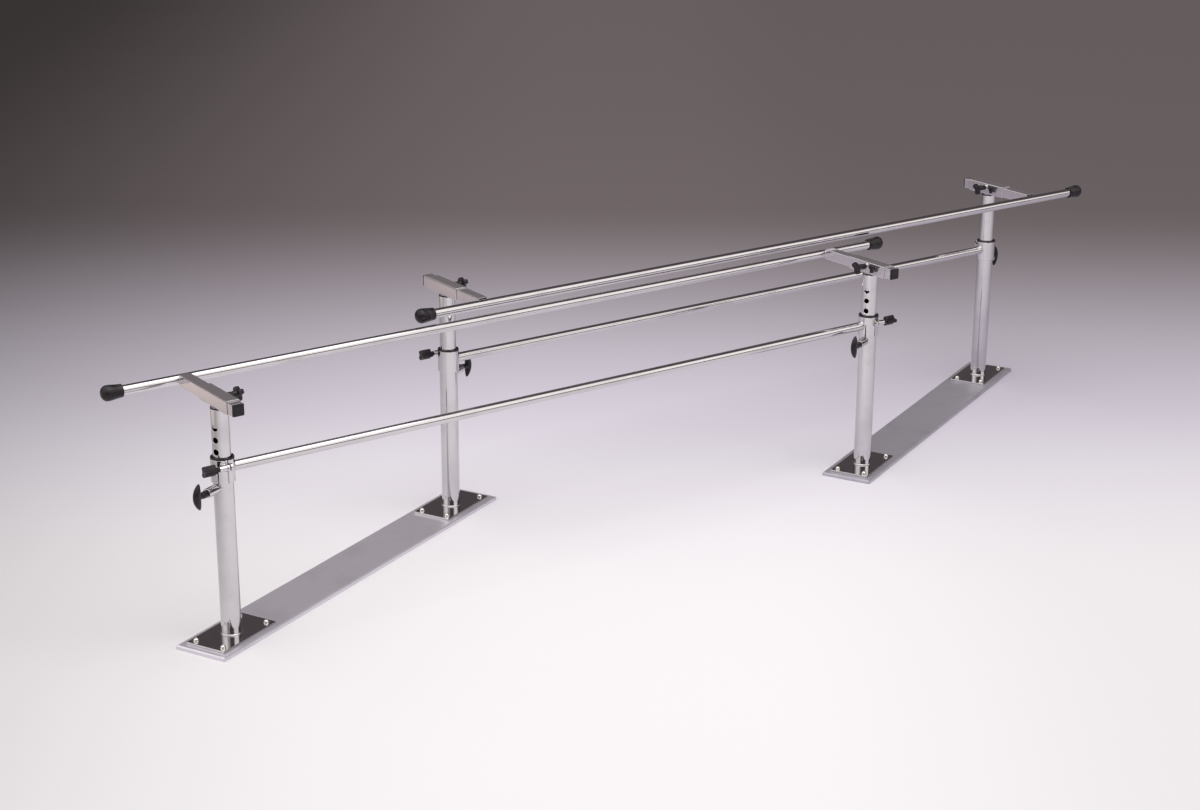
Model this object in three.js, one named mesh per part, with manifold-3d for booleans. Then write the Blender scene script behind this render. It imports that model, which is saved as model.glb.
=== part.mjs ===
// Folding parallel bars for walking practice, standing nearly folded.
// Millimetres, +Z up. X runs along the handrails and Y across them, and the origin is on the
// floor, midway between the four posts. Each base plate carries two posts and lies slantwise
// to the rails, because plates and rails are the four sides of a folding parallelogram.
import * as THREE from 'three';
import { mergeVertices } from 'three/addons/utils/BufferGeometryUtils.js';
import Module from 'manifold-3d';

const wasm = await Module();
wasm.setup();

// Layout in plan
const RAIL_SPAN = 2622; // between the two posts under one handrail
const POST_SPAN = 1253; // between the two posts of one base
const FOLD_ANGLE = THREE.MathUtils.degToRad(25.05); // from the rails to the base plates
const HANDRAIL_INSET = 242; // from the line of a bar's posts in to its handrail

// Fits
const GAP = 0.3; // between pieces that touch, weld or turn on each other
const SLIDE_GAP = 0.4; // between the square arm and its sleeve
const OVERRUN = 5; // how far a cutting tool passes the face that it cuts
const SAME_POINT = 0.0001; // corners closer than this are one corner

// Base plate, with its bevelled edge
const PLATE_WIDTH = 188;
const PLATE_OVERHANG = 155; // past each post's axis
const PLATE_THICKNESS = 12;
const PLATE_BEVEL = 5;

// Flange plate welded under each post, and its four bolts
const FLANGE_LENGTH = 260;
const FLANGE_MARGIN = 21; // from the base plate's long edges
const FLANGE_THICKNESS = 6;
const BOLT_END_MARGIN = 22; // from the flange plate's short edges
const BOLT_SIDE_MARGIN = 21; // from its long edges
const BOLT_SHANK_RADIUS = 5;
const BOLT_HEAD_RADIUS = 8.5;
const BOLT_HEAD_RIM = 4;
const BOLT_HEAD_HEIGHT = 10;

// Outer post
const POST_RADIUS = 31.75;
const POST_WALL = 1.65;
const POST_TOP = 595; // above the floor
const FOOT_BEAD = 3.6; // weld bead round the foot

// Inner post, with its column of height holes
const INNER_RADIUS = 28.575;
const INNER_WALL = 2;
const INNER_LENGTH = 613;
const HOLE_RADIUS = 9.5;
const HOLE_PITCH = 38.1;
const HOLE_COUNT = 15;
const TOP_HOLE_DROP = 58.3; // from the inner post's top to its first hole
const FRONT_PIN_COUNT = 5; // holes above the pinned one, under the front handrail
const REAR_PIN_COUNT = 6; // and under the rear one

// Black guide bush in the outer post's mouth
const BUSH_RIM_HEIGHT = 5;
const BUSH_RIM_RADIUS = 36.4;
const BUSH_SKIRT = 40;

// Split collar that turns on the outer post, and the lower rail welded between two collars
const COLLAR_RADIUS = 37;
const COLLAR_HEIGHT = 75;
const LOWER_RAIL_DROP = 35; // from the collar's top to the lower rail's axis
const LOWER_RAIL_RADIUS = 15.875;
const RAIL_WALL = 1.65;
const RAIL_BEAD = 2.5; // weld bead round the rail's end
const RAIL_BEAD_LENGTH = 4;
const COLLAR_KNOB_DROP = 20; // from the collar's top to its clamp knob
const LUG_OFFSET = 45; // from the post's axis out to the clamp screw
const LUG_ROUND = 12; // radius of a lug round the screw
const LUG_THICKNESS = 7;
const LUG_SLOT = 4; // between the two lugs
const LUG_BOSS_RADIUS = 9;
const LUG_BOSS_REACH = 33; // from the slot's middle to the boss's end

// Long clamp knob on the collar's lugs
const COLLAR_KNOB_RADIUS = 18.5;
const COLLAR_KNOB_WAIST = 10; // radius between the lobes
const COLLAR_KNOB_THICKNESS = 42;
const COLLAR_KNOB_BARREL_RADIUS = 9;
const COLLAR_KNOB_BARREL_LENGTH = 10;

// Width clamp knob with three lobes
const STUD_RADIUS = 4;
const KNOB_LOBES = 3;
const KNOB_RADIUS = 24;
const KNOB_WAIST = 11; // radius between the lobes
const KNOB_THICKNESS = 18;
const KNOB_BARREL_RADIUS = 11;
const KNOB_BARREL_LENGTH = 28;
const KNOB_ROUNDING = 2;

// Small steady knob beside the width knob
const STEADY_RADIUS = 15;
const STEADY_WAIST = 8;
const STEADY_THICKNESS = 12;

// Spring plunger that pins the inner post
const PLUNGER_CLEARANCE = 1; // between the collar and the plunger's boss
const PLUNGER_BOSS_RADIUS = 15;
const PLUNGER_BOSS_REACH = 82; // from the post's axis
const PLUNGER_BORE_RADIUS = 11;
const PLUNGER_WEB = 2; // metal left between the bore and the post
const PLUNGER_CAP = 3; // end wall of the boss
const NOSE_RADIUS = 8.7;
const SHOULDER_THICKNESS = 2.5;
const STEM_RADIUS = 4.5;
const SPRING_WIRE = 1.4;
const SPRING_TURNS = 4;
const SPRING_LENGTH = 16; // as pressed when the pin is pulled
const NECK_RADIUS = 11;
const NECK_REACH = 117; // from the post's axis
const GRIP_REACH = 139; // from the post's axis to the grip's outer face
const GRIP_HEIGHT = 84;
const GRIP_DEPTH = 24; // along the plunger, at the middle
const GRIP_WIDTH = 18;
const GRIP_TIP = 9; // depth of the grip near its tips
const GRIP_SWEEP = 18; // how far the tips curve back
const GRIP_ROUNDING = 4.5;

// Square sleeve that swivels on the inner post
const SLEEVE_SIDE = 44.45;
const SLEEVE_LENGTH = 184;
const SLEEVE_CORNER = 4;
const SPINDLE_LENGTH = 58;
const SPINDLE_WALL = 3;
const SPINDLE_SHOULDER = 5; // between the inner post's top and the sleeve
const WIDTH_BOSS_RADIUS = 11;
const WIDTH_BOSS_LENGTH = 6;
const WIDTH_KNOB_RAISE = 6; // above the sleeve's middle
const STEADY_SHIFT = 42; // from the width knob, along the sleeve
const STEADY_STANDOFF = 5; // from the sleeve's face to the knob

// Square arm that slides through the sleeve, and its end plug
const ARM_SIDE = 38.1;
const ARM_WALL = 2;
const ARM_CORNER = 3;
const ARM_TAIL = 123; // from the post's axis out to the arm's end
const ARM_COPE = 2; // depth of the hollow that takes the handrail's side
const PLUG_HEAD = 5;
const PLUG_SHANK = 18;

// Handrail and its rubber end caps
const HANDRAIL_RADIUS = 15.875;
const HANDRAIL_OVERHANG = 255; // past each post's axis
const CAP_LENGTH = 68;
const CAP_END = 17; // past the tube's end
const CAP_MOUTH_RADIUS = 21;
const CAP_BULB_RADIUS = 25;
const CAP_BULB_START = 26; // from the mouth
const CAP_ROUNDING = 2;

// Facets
const POST_SIDES = 18;
const TUBE_SIDES = 14;
const BORE_SIDES = 10;
const SMALL_SIDES = 8;
const KNOB_STEPS = 15;
const CORNER_STEPS = 1;
const ROUND_STEPS = 2; // in a bead or a bolt's dome
const SPRING_STEPS = 6; // in each turn
const SPRING_SIDES = 4;
const GRIP_STEPS = 6;
const CAP_STEPS = 3;

// Sizes that follow from the ones above
const POST_BORE = POST_RADIUS - POST_WALL;
const PLATE_LENGTH = POST_SPAN + 2 * PLATE_OVERHANG;
const FLANGE_WIDTH = PLATE_WIDTH - 2 * FLANGE_MARGIN;
const FLANGE_BOTTOM = PLATE_THICKNESS + GAP;
const FLANGE_MIDDLE = FLANGE_BOTTOM + FLANGE_THICKNESS / 2;
const FLANGE_TOP = FLANGE_BOTTOM + FLANGE_THICKNESS;
const BOLT_TIP = PLATE_THICKNESS / 2;
const BOLT_ALONG = FLANGE_LENGTH / 2 - BOLT_END_MARGIN;
const BOLT_ACROSS = FLANGE_WIDTH / 2 - BOLT_SIDE_MARGIN;
const COLLAR_BORE = POST_RADIUS + GAP;
const COLLAR_BOTTOM = POST_TOP - COLLAR_HEIGHT;
const LOCK_HEIGHT = COLLAR_BOTTOM - PLUNGER_CLEARANCE - PLUNGER_BOSS_RADIUS;
const LOWER_RAIL_HEIGHT = POST_TOP - LOWER_RAIL_DROP;
const COLLAR_KNOB_HEIGHT = POST_TOP - COLLAR_KNOB_DROP;
const LUG_END = LUG_SLOT / 2 + LUG_THICKNESS;
const SLEEVE_BORE = ARM_SIDE + 2 * SLIDE_GAP;
const INNER_BORE = INNER_RADIUS - INNER_WALL;
const ARM_RAISE = SPINDLE_SHOULDER + SLEEVE_SIDE / 2; // from the inner post's top
const WIDTH_BOSS_REACH = SLEEVE_SIDE / 2 + WIDTH_BOSS_LENGTH;

const chrome = new THREE.MeshStandardMaterial({ color: 0xc9c8cc, metalness: 1, roughness: 0.12 });
const satin = new THREE.MeshStandardMaterial({ color: 0xa9a6b2, metalness: 0.85, roughness: 0.42 });
const plastic = new THREE.MeshStandardMaterial({ color: 0x17161a, metalness: 0, roughness: 0.45 });
const rubber = new THREE.MeshStandardMaterial({ color: 0x2a292c, metalness: 0, roughness: 0.6 });
const spring = new THREE.MeshStandardMaterial({ color: 0x8a8a8e, metalness: 1, roughness: 0.3 });

// Turns a closed three.js geometry into a solid that can be joined and cut.
function solid(geometry) {
  const bare = geometry.clone();
  bare.deleteAttribute('normal');
  bare.deleteAttribute('uv');
  const merged = mergeVertices(bare, SAME_POINT);
  const corners = Array.from(merged.index.array);
  const triangles = [];
  for (let i = 0; i < corners.length; i += 3) {
    const [a, b, c] = corners.slice(i, i + 3);
    if (a !== b && b !== c && c !== a) triangles.push(a, b, c);
  }
  return new wasm.Manifold(new wasm.Mesh({
    numProp: 3,
    vertProperties: new Float32Array(merged.attributes.position.array),
    triVerts: new Uint32Array(triangles),
  }));
}

// Joins solids into one.
function join(first, ...others) {
  return others.reduce((whole, other) => whole.add(other), first);
}

// Cuts tools out of a solid.
function cut(body, ...tools) {
  return tools.reduce((rest, tool) => rest.subtract(tool), body);
}

// Gives a solid back as a geometry with flat faces.
function geometryOf(body) {
  const mesh = body.getMesh();
  const positions = [];
  for (const vertex of mesh.triVerts) {
    const start = vertex * mesh.numProp;
    positions.push(...mesh.vertProperties.subarray(start, start + 3));
  }
  const geometry = new THREE.BufferGeometry();
  geometry.setAttribute('position', new THREE.Float32BufferAttribute(positions, 3));
  geometry.computeVertexNormals();
  return geometry;
}

// A round bar from z = low to z = high.
function bar(radius, low, high, sides = TUBE_SIDES) {
  const geometry = new THREE.CylinderGeometry(radius, radius, high - low, sides);
  geometry.rotateX(Math.PI / 2);
  geometry.translate(0, 0, (low + high) / 2);
  return geometry;
}

// A round bar along +X from x = low to x = high, at the given y and z.
function barX(radius, low, high, y = 0, z = 0, sides = TUBE_SIDES) {
  const geometry = bar(radius, low, high, sides);
  geometry.rotateY(Math.PI / 2);
  geometry.translate(0, y, z);
  return geometry;
}

// A round bar along +Y from y = low to y = high, at the given x and z.
function barY(radius, low, high, x = 0, z = 0, sides = TUBE_SIDES) {
  const geometry = bar(radius, low, high, sides);
  geometry.rotateX(-Math.PI / 2);
  geometry.translate(x, 0, z);
  return geometry;
}

// A tool for a round hole. Its flats touch the hole's circle from outside, so a shaft of
// the stated radius turns freely in it.
function drill(radius, low, high, sides = POST_SIDES) {
  return bar(radius / Math.cos(Math.PI / sides), low, high, sides);
}

// The same along +X.
function drillX(radius, low, high, y = 0, z = 0, sides = BORE_SIDES) {
  return barX(radius / Math.cos(Math.PI / sides), low, high, y, z, sides);
}

// The same along +Y.
function drillY(radius, low, high, x = 0, z = 0, sides = BORE_SIDES) {
  return barY(radius / Math.cos(Math.PI / sides), low, high, x, z, sides);
}

// A block from x = 0 to x = end, centred on y = 0 and on the given z.
function block(end, width, height, z) {
  const geometry = new THREE.BoxGeometry(end, width, height);
  geometry.translate(end / 2, 0, z);
  return geometry;
}

// A quarter circle of [radius, z] points, from flat against the side to flat on the top.
function quarterRound(radius, low, across, rise, steps) {
  const points = [];
  for (let i = 0; i <= steps; i++) {
    const angle = (i / steps) * (Math.PI / 2);
    points.push([radius + across * Math.cos(angle), low + rise * Math.sin(angle)]);
  }
  return points;
}

// A profile of [radius, z] points turned about the Z axis.
function turned(profile, sides = POST_SIDES) {
  const geometry = new THREE.LatheGeometry(profile.map(([r, z]) => new THREE.Vector2(r, z)), sides);
  geometry.rotateX(Math.PI / 2);
  return geometry;
}

// A round tube about the Z axis, from z = low to z = high.
function tube(outer, inner, low, high, sides = POST_SIDES) {
  return turned([[inner, low], [outer, low], [outer, high], [inner, high], [inner, low]], sides);
}

// A square with rounded corners.
function roundedSquare(side, corner) {
  const half = side / 2;
  const inner = half - corner;
  const shape = new THREE.Shape();
  shape.moveTo(half, -inner);
  shape.absarc(inner, inner, corner, 0, Math.PI / 2);
  shape.absarc(-inner, inner, corner, Math.PI / 2, Math.PI);
  shape.absarc(-inner, -inner, corner, Math.PI, 1.5 * Math.PI);
  shape.absarc(inner, -inner, corner, 1.5 * Math.PI, 2 * Math.PI);
  return shape;
}

// A square bar with rounded corners along Y, from y = low to y = high.
function squareBar(side, corner, low, high) {
  const options = { depth: high - low, bevelEnabled: false, curveSegments: CORNER_STEPS };
  const geometry = new THREE.ExtrudeGeometry(roundedSquare(side, corner), options);
  geometry.rotateX(-Math.PI / 2);
  geometry.translate(0, low, 0);
  return geometry;
}

// A knob's outline: the radius swings between the waist and the lobes' tips.
function lobedOutline(radius, waist) {
  const points = [];
  for (let i = 0; i < KNOB_STEPS; i++) {
    const angle = (i / KNOB_STEPS) * 2 * Math.PI;
    const swing = 0.5 + 0.5 * Math.cos(KNOB_LOBES * angle);
    const r = waist + (radius - waist) * Math.sqrt(swing);
    points.push(new THREE.Vector2(r * Math.cos(angle), r * Math.sin(angle)));
  }
  return new THREE.Shape(points);
}

// A lobed knob head on +Z, from z = low to z = low + thickness, with rounded rims.
function lobedHead(radius, waist, low, thickness) {
  const options = {
    depth: thickness - 2 * KNOB_ROUNDING,
    bevelThickness: KNOB_ROUNDING,
    bevelSize: KNOB_ROUNDING,
    bevelOffset: -KNOB_ROUNDING,
    bevelSegments: 1,
  };
  const geometry = new THREE.ExtrudeGeometry(lobedOutline(radius, waist), options);
  geometry.translate(0, 0, low + KNOB_ROUNDING);
  return geometry;
}

// The base plate between two posts, centred on them, with its top edges bevelled
// and eight holes for the flange bolts.
function basePlate() {
  const bevelled = (across) => {
    const half = across / 2;
    const top = PLATE_THICKNESS;
    const shoulder = top - PLATE_BEVEL / 2;
    return new THREE.Shape([
      new THREE.Vector2(-half, 0),
      new THREE.Vector2(half, 0),
      new THREE.Vector2(half, shoulder),
      new THREE.Vector2(half - PLATE_BEVEL, top),
      new THREE.Vector2(-half + PLATE_BEVEL, top),
      new THREE.Vector2(-half, shoulder),
    ]);
  };
  const crosswise = new THREE.ExtrudeGeometry(bevelled(PLATE_LENGTH), {
    depth: PLATE_WIDTH,
    bevelEnabled: false,
  });
  crosswise.rotateX(Math.PI / 2);
  crosswise.translate(0, PLATE_WIDTH / 2, 0);
  const lengthwise = new THREE.ExtrudeGeometry(bevelled(PLATE_WIDTH), {
    depth: PLATE_LENGTH,
    bevelEnabled: false,
  });
  lengthwise.rotateX(Math.PI / 2);
  lengthwise.rotateZ(Math.PI / 2);
  lengthwise.translate(-PLATE_LENGTH / 2, 0, 0);
  const plate = solid(crosswise).intersect(solid(lengthwise));
  const holes = [];
  for (const end of [-1, 1]) {
    for (const [x, y] of boltPlaces()) {
      const low = BOLT_TIP - GAP;
      const hole = drill(BOLT_SHANK_RADIUS + GAP, low, PLATE_THICKNESS + OVERRUN, SMALL_SIDES);
      holes.push(solid(hole.translate(end * POST_SPAN / 2 + x, y, 0)));
    }
  }
  return geometryOf(cut(plate, ...holes));
}

// The four bolt places round a post's axis.
function boltPlaces() {
  const places = [];
  for (const x of [-BOLT_ALONG, BOLT_ALONG]) {
    for (const y of [-BOLT_ACROSS, BOLT_ACROSS]) places.push([x, y]);
  }
  return places;
}

// A domed bolt that starts inside the base plate and holds the flange plate down.
function flangeBolt() {
  const rim = FLANGE_TOP + BOLT_HEAD_RIM;
  const dome = quarterRound(0, rim, BOLT_HEAD_RADIUS, BOLT_HEAD_HEIGHT - BOLT_HEAD_RIM, ROUND_STEPS);
  dome[ROUND_STEPS][0] = 0;
  return turned([
    [0, BOLT_TIP],
    [BOLT_SHANK_RADIUS, BOLT_TIP],
    [BOLT_SHANK_RADIUS, FLANGE_MIDDLE],
    [BOLT_HEAD_RADIUS, FLANGE_MIDDLE],
    ...dome,
  ], SMALL_SIDES);
}

// The outer post welded to its flange plate, with the plunger's boss on +X and the four bolts.
function outerPost() {
  const plate = new THREE.BoxGeometry(FLANGE_LENGTH, FLANGE_WIDTH, FLANGE_THICKNESS);
  plate.translate(0, 0, FLANGE_MIDDLE);
  const bolts = boltPlaces().map(([x, y]) => solid(flangeBolt().translate(x, y, 0)));
  const wall = turned([
    [POST_BORE, FLANGE_MIDDLE],
    [POST_RADIUS + FOOT_BEAD, FLANGE_MIDDLE],
    ...quarterRound(POST_RADIUS, FLANGE_TOP, FOOT_BEAD, FOOT_BEAD, ROUND_STEPS),
    [POST_RADIUS, POST_TOP],
    [POST_BORE, POST_TOP],
    [POST_BORE, FLANGE_MIDDLE],
  ]);
  const z = LOCK_HEIGHT;
  const middle = (POST_BORE + POST_RADIUS) / 2;
  const boss = solid(barX(PLUNGER_BOSS_RADIUS, middle, PLUNGER_BOSS_REACH, 0, z));
  const inside = solid(bar(middle, FLANGE_TOP, POST_TOP, POST_SIDES));
  const boreStart = POST_RADIUS + PLUNGER_WEB;
  const boreEnd = PLUNGER_BOSS_REACH - PLUNGER_CAP;
  const bore = solid(drillX(PLUNGER_BORE_RADIUS, boreStart, boreEnd, 0, z));
  const noseHole = solid(drillX(NOSE_RADIUS + GAP, 0, boreStart + GAP, 0, z));
  const stemLow = boreEnd - GAP;
  const stemHigh = PLUNGER_BOSS_REACH + OVERRUN;
  const stemHole = solid(drillX(STEM_RADIUS + GAP, stemLow, stemHigh, 0, z));
  const whole = join(solid(wall), solid(plate), cut(boss, inside), ...bolts);
  return geometryOf(cut(whole, bore, noseHole, stemHole));
}

// The black bush: a rim on the post's top and a thin skirt between the two posts.
function guideBush() {
  const rimLow = POST_TOP + GAP;
  const skirtLow = POST_TOP - BUSH_SKIRT;
  const skirt = POST_BORE - GAP;
  const bore = INNER_RADIUS + GAP;
  return turned([
    [bore, skirtLow],
    [skirt, skirtLow],
    [skirt, rimLow],
    [BUSH_RIM_RADIUS, rimLow],
    [BUSH_RIM_RADIUS, rimLow + BUSH_RIM_HEIGHT],
    [bore, rimLow + BUSH_RIM_HEIGHT],
    [bore, skirtLow],
  ]);
}

// One lower rail along +X, with a weld bead at each end. Its ends are coped round the collars.
function lowerRail(side) {
  const mid = RAIL_SPAN / 2;
  const z = LOWER_RAIL_HEIGHT;
  let whole = solid(barX(LOWER_RAIL_RADIUS, -mid, mid, 0, z));
  const beadEnd = COLLAR_RADIUS + RAIL_BEAD_LENGTH;
  const beadRadius = LOWER_RAIL_RADIUS + RAIL_BEAD;
  const tools = [solid(barX(LOWER_RAIL_RADIUS - RAIL_WALL, -mid - OVERRUN, mid + OVERRUN, 0, z))];
  for (const end of [-1, 1]) {
    const low = Math.min(end * mid, end * (mid - beadEnd));
    whole = whole.add(solid(barX(beadRadius, low, low + beadEnd, 0, z)));
    const cope = drill(COLLAR_RADIUS + GAP, COLLAR_BOTTOM, POST_TOP);
    tools.push(solid(atCollar(cope, end, side)));
  }
  return geometryOf(cut(whole, ...tools));
}

// The split collar round an outer post. Its two lugs are on +X, with the slot between them, and
// the screw's boss is on the knob's side, towards +Y where hand is 1 and -Y where it is -1.
function collar(hand) {
  const z = COLLAR_KNOB_HEIGHT;
  const ring = solid(bar(COLLAR_RADIUS, COLLAR_BOTTOM, POST_TOP, POST_SIDES));
  const lugRound = solid(barY(LUG_ROUND, -LUG_END, LUG_END, LUG_OFFSET, z));
  const lugRoot = solid(block(LUG_OFFSET, 2 * LUG_END, 2 * LUG_ROUND, z));
  const bossEnd = hand * LUG_BOSS_REACH;
  const bossLow = Math.min(0, bossEnd);
  const boss = solid(barY(LUG_BOSS_RADIUS, bossLow, bossLow + LUG_BOSS_REACH, LUG_OFFSET, z));
  const bore = solid(drill(COLLAR_BORE, COLLAR_BOTTOM - OVERRUN, POST_TOP + OVERRUN));
  const slotEnd = LUG_OFFSET + LUG_ROUND + OVERRUN;
  const slotHeight = COLLAR_HEIGHT + 2 * OVERRUN;
  const slot = solid(block(slotEnd, LUG_SLOT, slotHeight, POST_TOP - COLLAR_HEIGHT / 2));
  const holeEnd = LUG_BOSS_REACH + OVERRUN;
  const hole = solid(drillY(STUD_RADIUS + GAP, -holeEnd, holeEnd, LUG_OFFSET, z, SMALL_SIDES));
  return geometryOf(cut(join(ring, lugRound, lugRoot, boss), bore, slot, hole));
}

// Turns a geometry whose lugs would be on +X to a collar's place, at one end of the rail. The
// lugs face away from the other rail.
function atCollar(geometry, end, side) {
  geometry.rotateZ(side * Math.PI / 2);
  geometry.translate(end * RAIL_SPAN / 2, 0, 0);
  return geometry;
}

// A clamp knob along +X, with its stud, its barrel and its lobed head.
function clampKnob({ studStart, barrelStart, barrelRadius, headStart, radius, waist, thickness }) {
  const middle = headStart + thickness / 2;
  const stud = solid(bar(STUD_RADIUS, studStart, middle, SMALL_SIDES));
  const barrel = solid(turned([
    [0, barrelStart],
    [barrelRadius - KNOB_ROUNDING, barrelStart],
    [barrelRadius, barrelStart + KNOB_ROUNDING],
    [barrelRadius, middle],
    [0, middle],
  ], BORE_SIDES));
  const head = solid(lobedHead(radius, waist, headStart, thickness));
  return geometryOf(join(stud, barrel, head)).rotateY(Math.PI / 2);
}

// The long knob along +X whose stud goes through a collar's lugs from the slot's middle at x = 0.
function collarKnob() {
  const barrelStart = LUG_BOSS_REACH + GAP;
  return clampKnob({
    studStart: -LUG_END,
    barrelStart,
    barrelRadius: COLLAR_KNOB_BARREL_RADIUS,
    headStart: barrelStart + COLLAR_KNOB_BARREL_LENGTH,
    radius: COLLAR_KNOB_RADIUS,
    waist: COLLAR_KNOB_WAIST,
    thickness: COLLAR_KNOB_THICKNESS,
  });
}

// The knob along +X that clamps the arm in its sleeve. The arm's middle is at x = 0.
function widthKnob() {
  const barrelStart = WIDTH_BOSS_REACH + GAP;
  return clampKnob({
    studStart: ARM_SIDE / 2 + GAP,
    barrelStart,
    barrelRadius: KNOB_BARREL_RADIUS,
    headStart: barrelStart + KNOB_BARREL_LENGTH,
    radius: KNOB_RADIUS,
    waist: KNOB_WAIST,
    thickness: KNOB_THICKNESS,
  });
}

// The small steady knob along +X.
function steadyKnob(studStart, headStart) {
  const stud = solid(bar(STUD_RADIUS, studStart, headStart + STEADY_THICKNESS / 2, SMALL_SIDES));
  const head = solid(lobedHead(STEADY_RADIUS, STEADY_WAIST, headStart, STEADY_THICKNESS));
  return geometryOf(join(stud, head)).rotateY(Math.PI / 2);
}

// Where the plunger's shoulder begins and ends, from the post's axis.
const SHOULDER_START = POST_RADIUS + PLUNGER_WEB + GAP;
const SHOULDER_END = SHOULDER_START + SHOULDER_THICKNESS;

// The plunger along +X: nose, shoulder and stem, with its neck and upright crescent grip.
// The nose stops just short of the inner post, in line with the pinned hole.
function plunger() {
  const z = LOCK_HEIGHT;
  const noseStart = INNER_RADIUS + GAP;
  const nose = solid(barX(NOSE_RADIUS, noseStart, SHOULDER_END, 0, z, BORE_SIDES));
  const shoulderRadius = PLUNGER_BORE_RADIUS - GAP;
  const shoulder = solid(barX(shoulderRadius, SHOULDER_START, SHOULDER_END, 0, z, BORE_SIDES));
  const stem = solid(barX(STEM_RADIUS, SHOULDER_START, NECK_REACH, 0, z, SMALL_SIDES));
  const neckStart = PLUNGER_BOSS_REACH + GAP;
  const neck = solid(barX(NECK_RADIUS, neckStart, NECK_REACH + GRIP_DEPTH / 2, 0, z, BORE_SIDES));
  return geometryOf(join(nose, shoulder, stem, neck, solid(grip())));
}

// The crescent grip: its outer face bows outwards, and it thins towards swept-back tips.
function grip() {
  const half = GRIP_HEIGHT / 2;
  const outer = [];
  const inner = [];
  for (let i = 0; i <= GRIP_STEPS; i++) {
    const up = -1 + (2 * i) / GRIP_STEPS;
    const back = GRIP_SWEEP * up * up;
    const depth = GRIP_TIP + (GRIP_DEPTH - GRIP_TIP) * (1 - up * up);
    outer.push(new THREE.Vector2(GRIP_REACH - back, half * up));
    inner.unshift(new THREE.Vector2(GRIP_REACH - back - depth, half * up));
  }
  const round = GRIP_ROUNDING;
  const geometry = new THREE.ExtrudeGeometry(new THREE.Shape([...outer, ...inner]), {
    depth: GRIP_WIDTH - 2 * round,
    bevelThickness: round,
    bevelSize: round,
    bevelOffset: -round,
    bevelSegments: 1,
  });
  geometry.translate(0, 0, -GRIP_WIDTH / 2 + round);
  geometry.rotateX(Math.PI / 2);
  geometry.translate(0, 0, LOCK_HEIGHT);
  return geometry;
}

// The plunger's spring: one wire that winds round the stem from the shoulder outwards.
function plungerSpring() {
  const wire = SPRING_WIRE / 2;
  const coil = PLUNGER_BORE_RADIUS - GAP - wire;
  const start = SHOULDER_END + GAP + wire;
  const rise = SPRING_LENGTH - SPRING_WIRE;
  const steps = SPRING_TURNS * SPRING_STEPS;
  const positions = [];
  for (let i = 0; i <= steps; i++) {
    const angle = (i / SPRING_STEPS) * 2 * Math.PI;
    const along = start + (rise * i) / steps;
    for (let j = 0; j < SPRING_SIDES; j++) {
      const round = (j / SPRING_SIDES) * 2 * Math.PI;
      const r = coil + wire * Math.cos(round);
      positions.push(along + wire * Math.sin(round), r * Math.cos(angle), LOCK_HEIGHT + r * Math.sin(angle));
    }
  }
  const at = (i, j) => i * SPRING_SIDES + (j % SPRING_SIDES);
  const faces = [];
  for (let i = 0; i < steps; i++) {
    for (let j = 0; j < SPRING_SIDES; j++) {
      faces.push(at(i, j), at(i + 1, j), at(i, j + 1));
      faces.push(at(i, j + 1), at(i + 1, j), at(i + 1, j + 1));
    }
  }
  for (let j = 1; j < SPRING_SIDES - 1; j++) {
    faces.push(at(0, 0), at(0, j), at(0, j + 1));
    faces.push(at(steps, 0), at(steps, j + 1), at(steps, j));
  }
  const geometry = new THREE.BufferGeometry();
  geometry.setAttribute('position', new THREE.Float32BufferAttribute(positions, 3));
  geometry.setIndex(faces);
  geometry.computeVertexNormals();
  return geometry;
}

// The inner post, from its top at z = 0 down, with its column of holes on +X.
function innerPost() {
  const wall = solid(bar(INNER_RADIUS, -INNER_LENGTH, 0, POST_SIDES));
  const holes = [solid(drill(INNER_BORE, -INNER_LENGTH - OVERRUN, OVERRUN))];
  for (let i = 0; i < HOLE_COUNT; i++) {
    const z = -TOP_HOLE_DROP - i * HOLE_PITCH;
    holes.push(solid(drillX(HOLE_RADIUS, 0, INNER_RADIUS + OVERRUN, 0, z, SMALL_SIDES)));
  }
  return geometryOf(cut(wall, ...holes));
}

// The sleeve along Y, about the arm's middle at z = 0. Its spindle goes down into the inner
// post, and the spindle's shoulder rests on the post's top.
// The clamp boss is on +X, and the steady knob's hole is beside it, towards +Y where hand is 1.
function armSleeve(hand) {
  const half = SLEEVE_LENGTH / 2;
  const body = solid(squareBar(SLEEVE_SIDE, SLEEVE_CORNER, -half, half));
  const spindleTop = -SLEEVE_BORE / 2 - SLIDE_GAP;
  const spindleLow = -ARM_RAISE - SPINDLE_LENGTH;
  const spindle = solid(bar(INNER_BORE - GAP, spindleLow, spindleTop, POST_SIDES));
  const shoulderLow = GAP - ARM_RAISE;
  const shoulder = solid(bar(INNER_RADIUS, shoulderLow, shoulderLow + SPINDLE_SHOULDER, POST_SIDES));
  const z = WIDTH_KNOB_RAISE;
  const inBody = SLEEVE_SIDE / 2 - SLIDE_GAP;
  const boss = solid(barX(WIDTH_BOSS_RADIUS, inBody, WIDTH_BOSS_REACH, 0, z, BORE_SIDES));
  const hollow = solid(squareBar(SLEEVE_BORE, ARM_CORNER, -half - OVERRUN, half + OVERRUN));
  const spindleHollowTop = -SLEEVE_SIDE / 2 - SPINDLE_WALL;
  const spindleBore = INNER_BORE - GAP - SPINDLE_WALL;
  const spindleHollow = solid(bar(spindleBore, spindleLow - OVERRUN, spindleHollowTop, TUBE_SIDES));
  const studEnd = WIDTH_BOSS_REACH + OVERRUN;
  const hole = STUD_RADIUS + GAP;
  const widthHole = solid(drillX(hole, 0, studEnd, 0, z, SMALL_SIDES));
  const steadyHole = solid(drillX(hole, 0, studEnd, hand * STEADY_SHIFT, z, SMALL_SIDES));
  const whole = join(body, spindle, shoulder, boss);
  return geometryOf(cut(whole, hollow, spindleHollow, widthHole, steadyHole));
}

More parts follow.
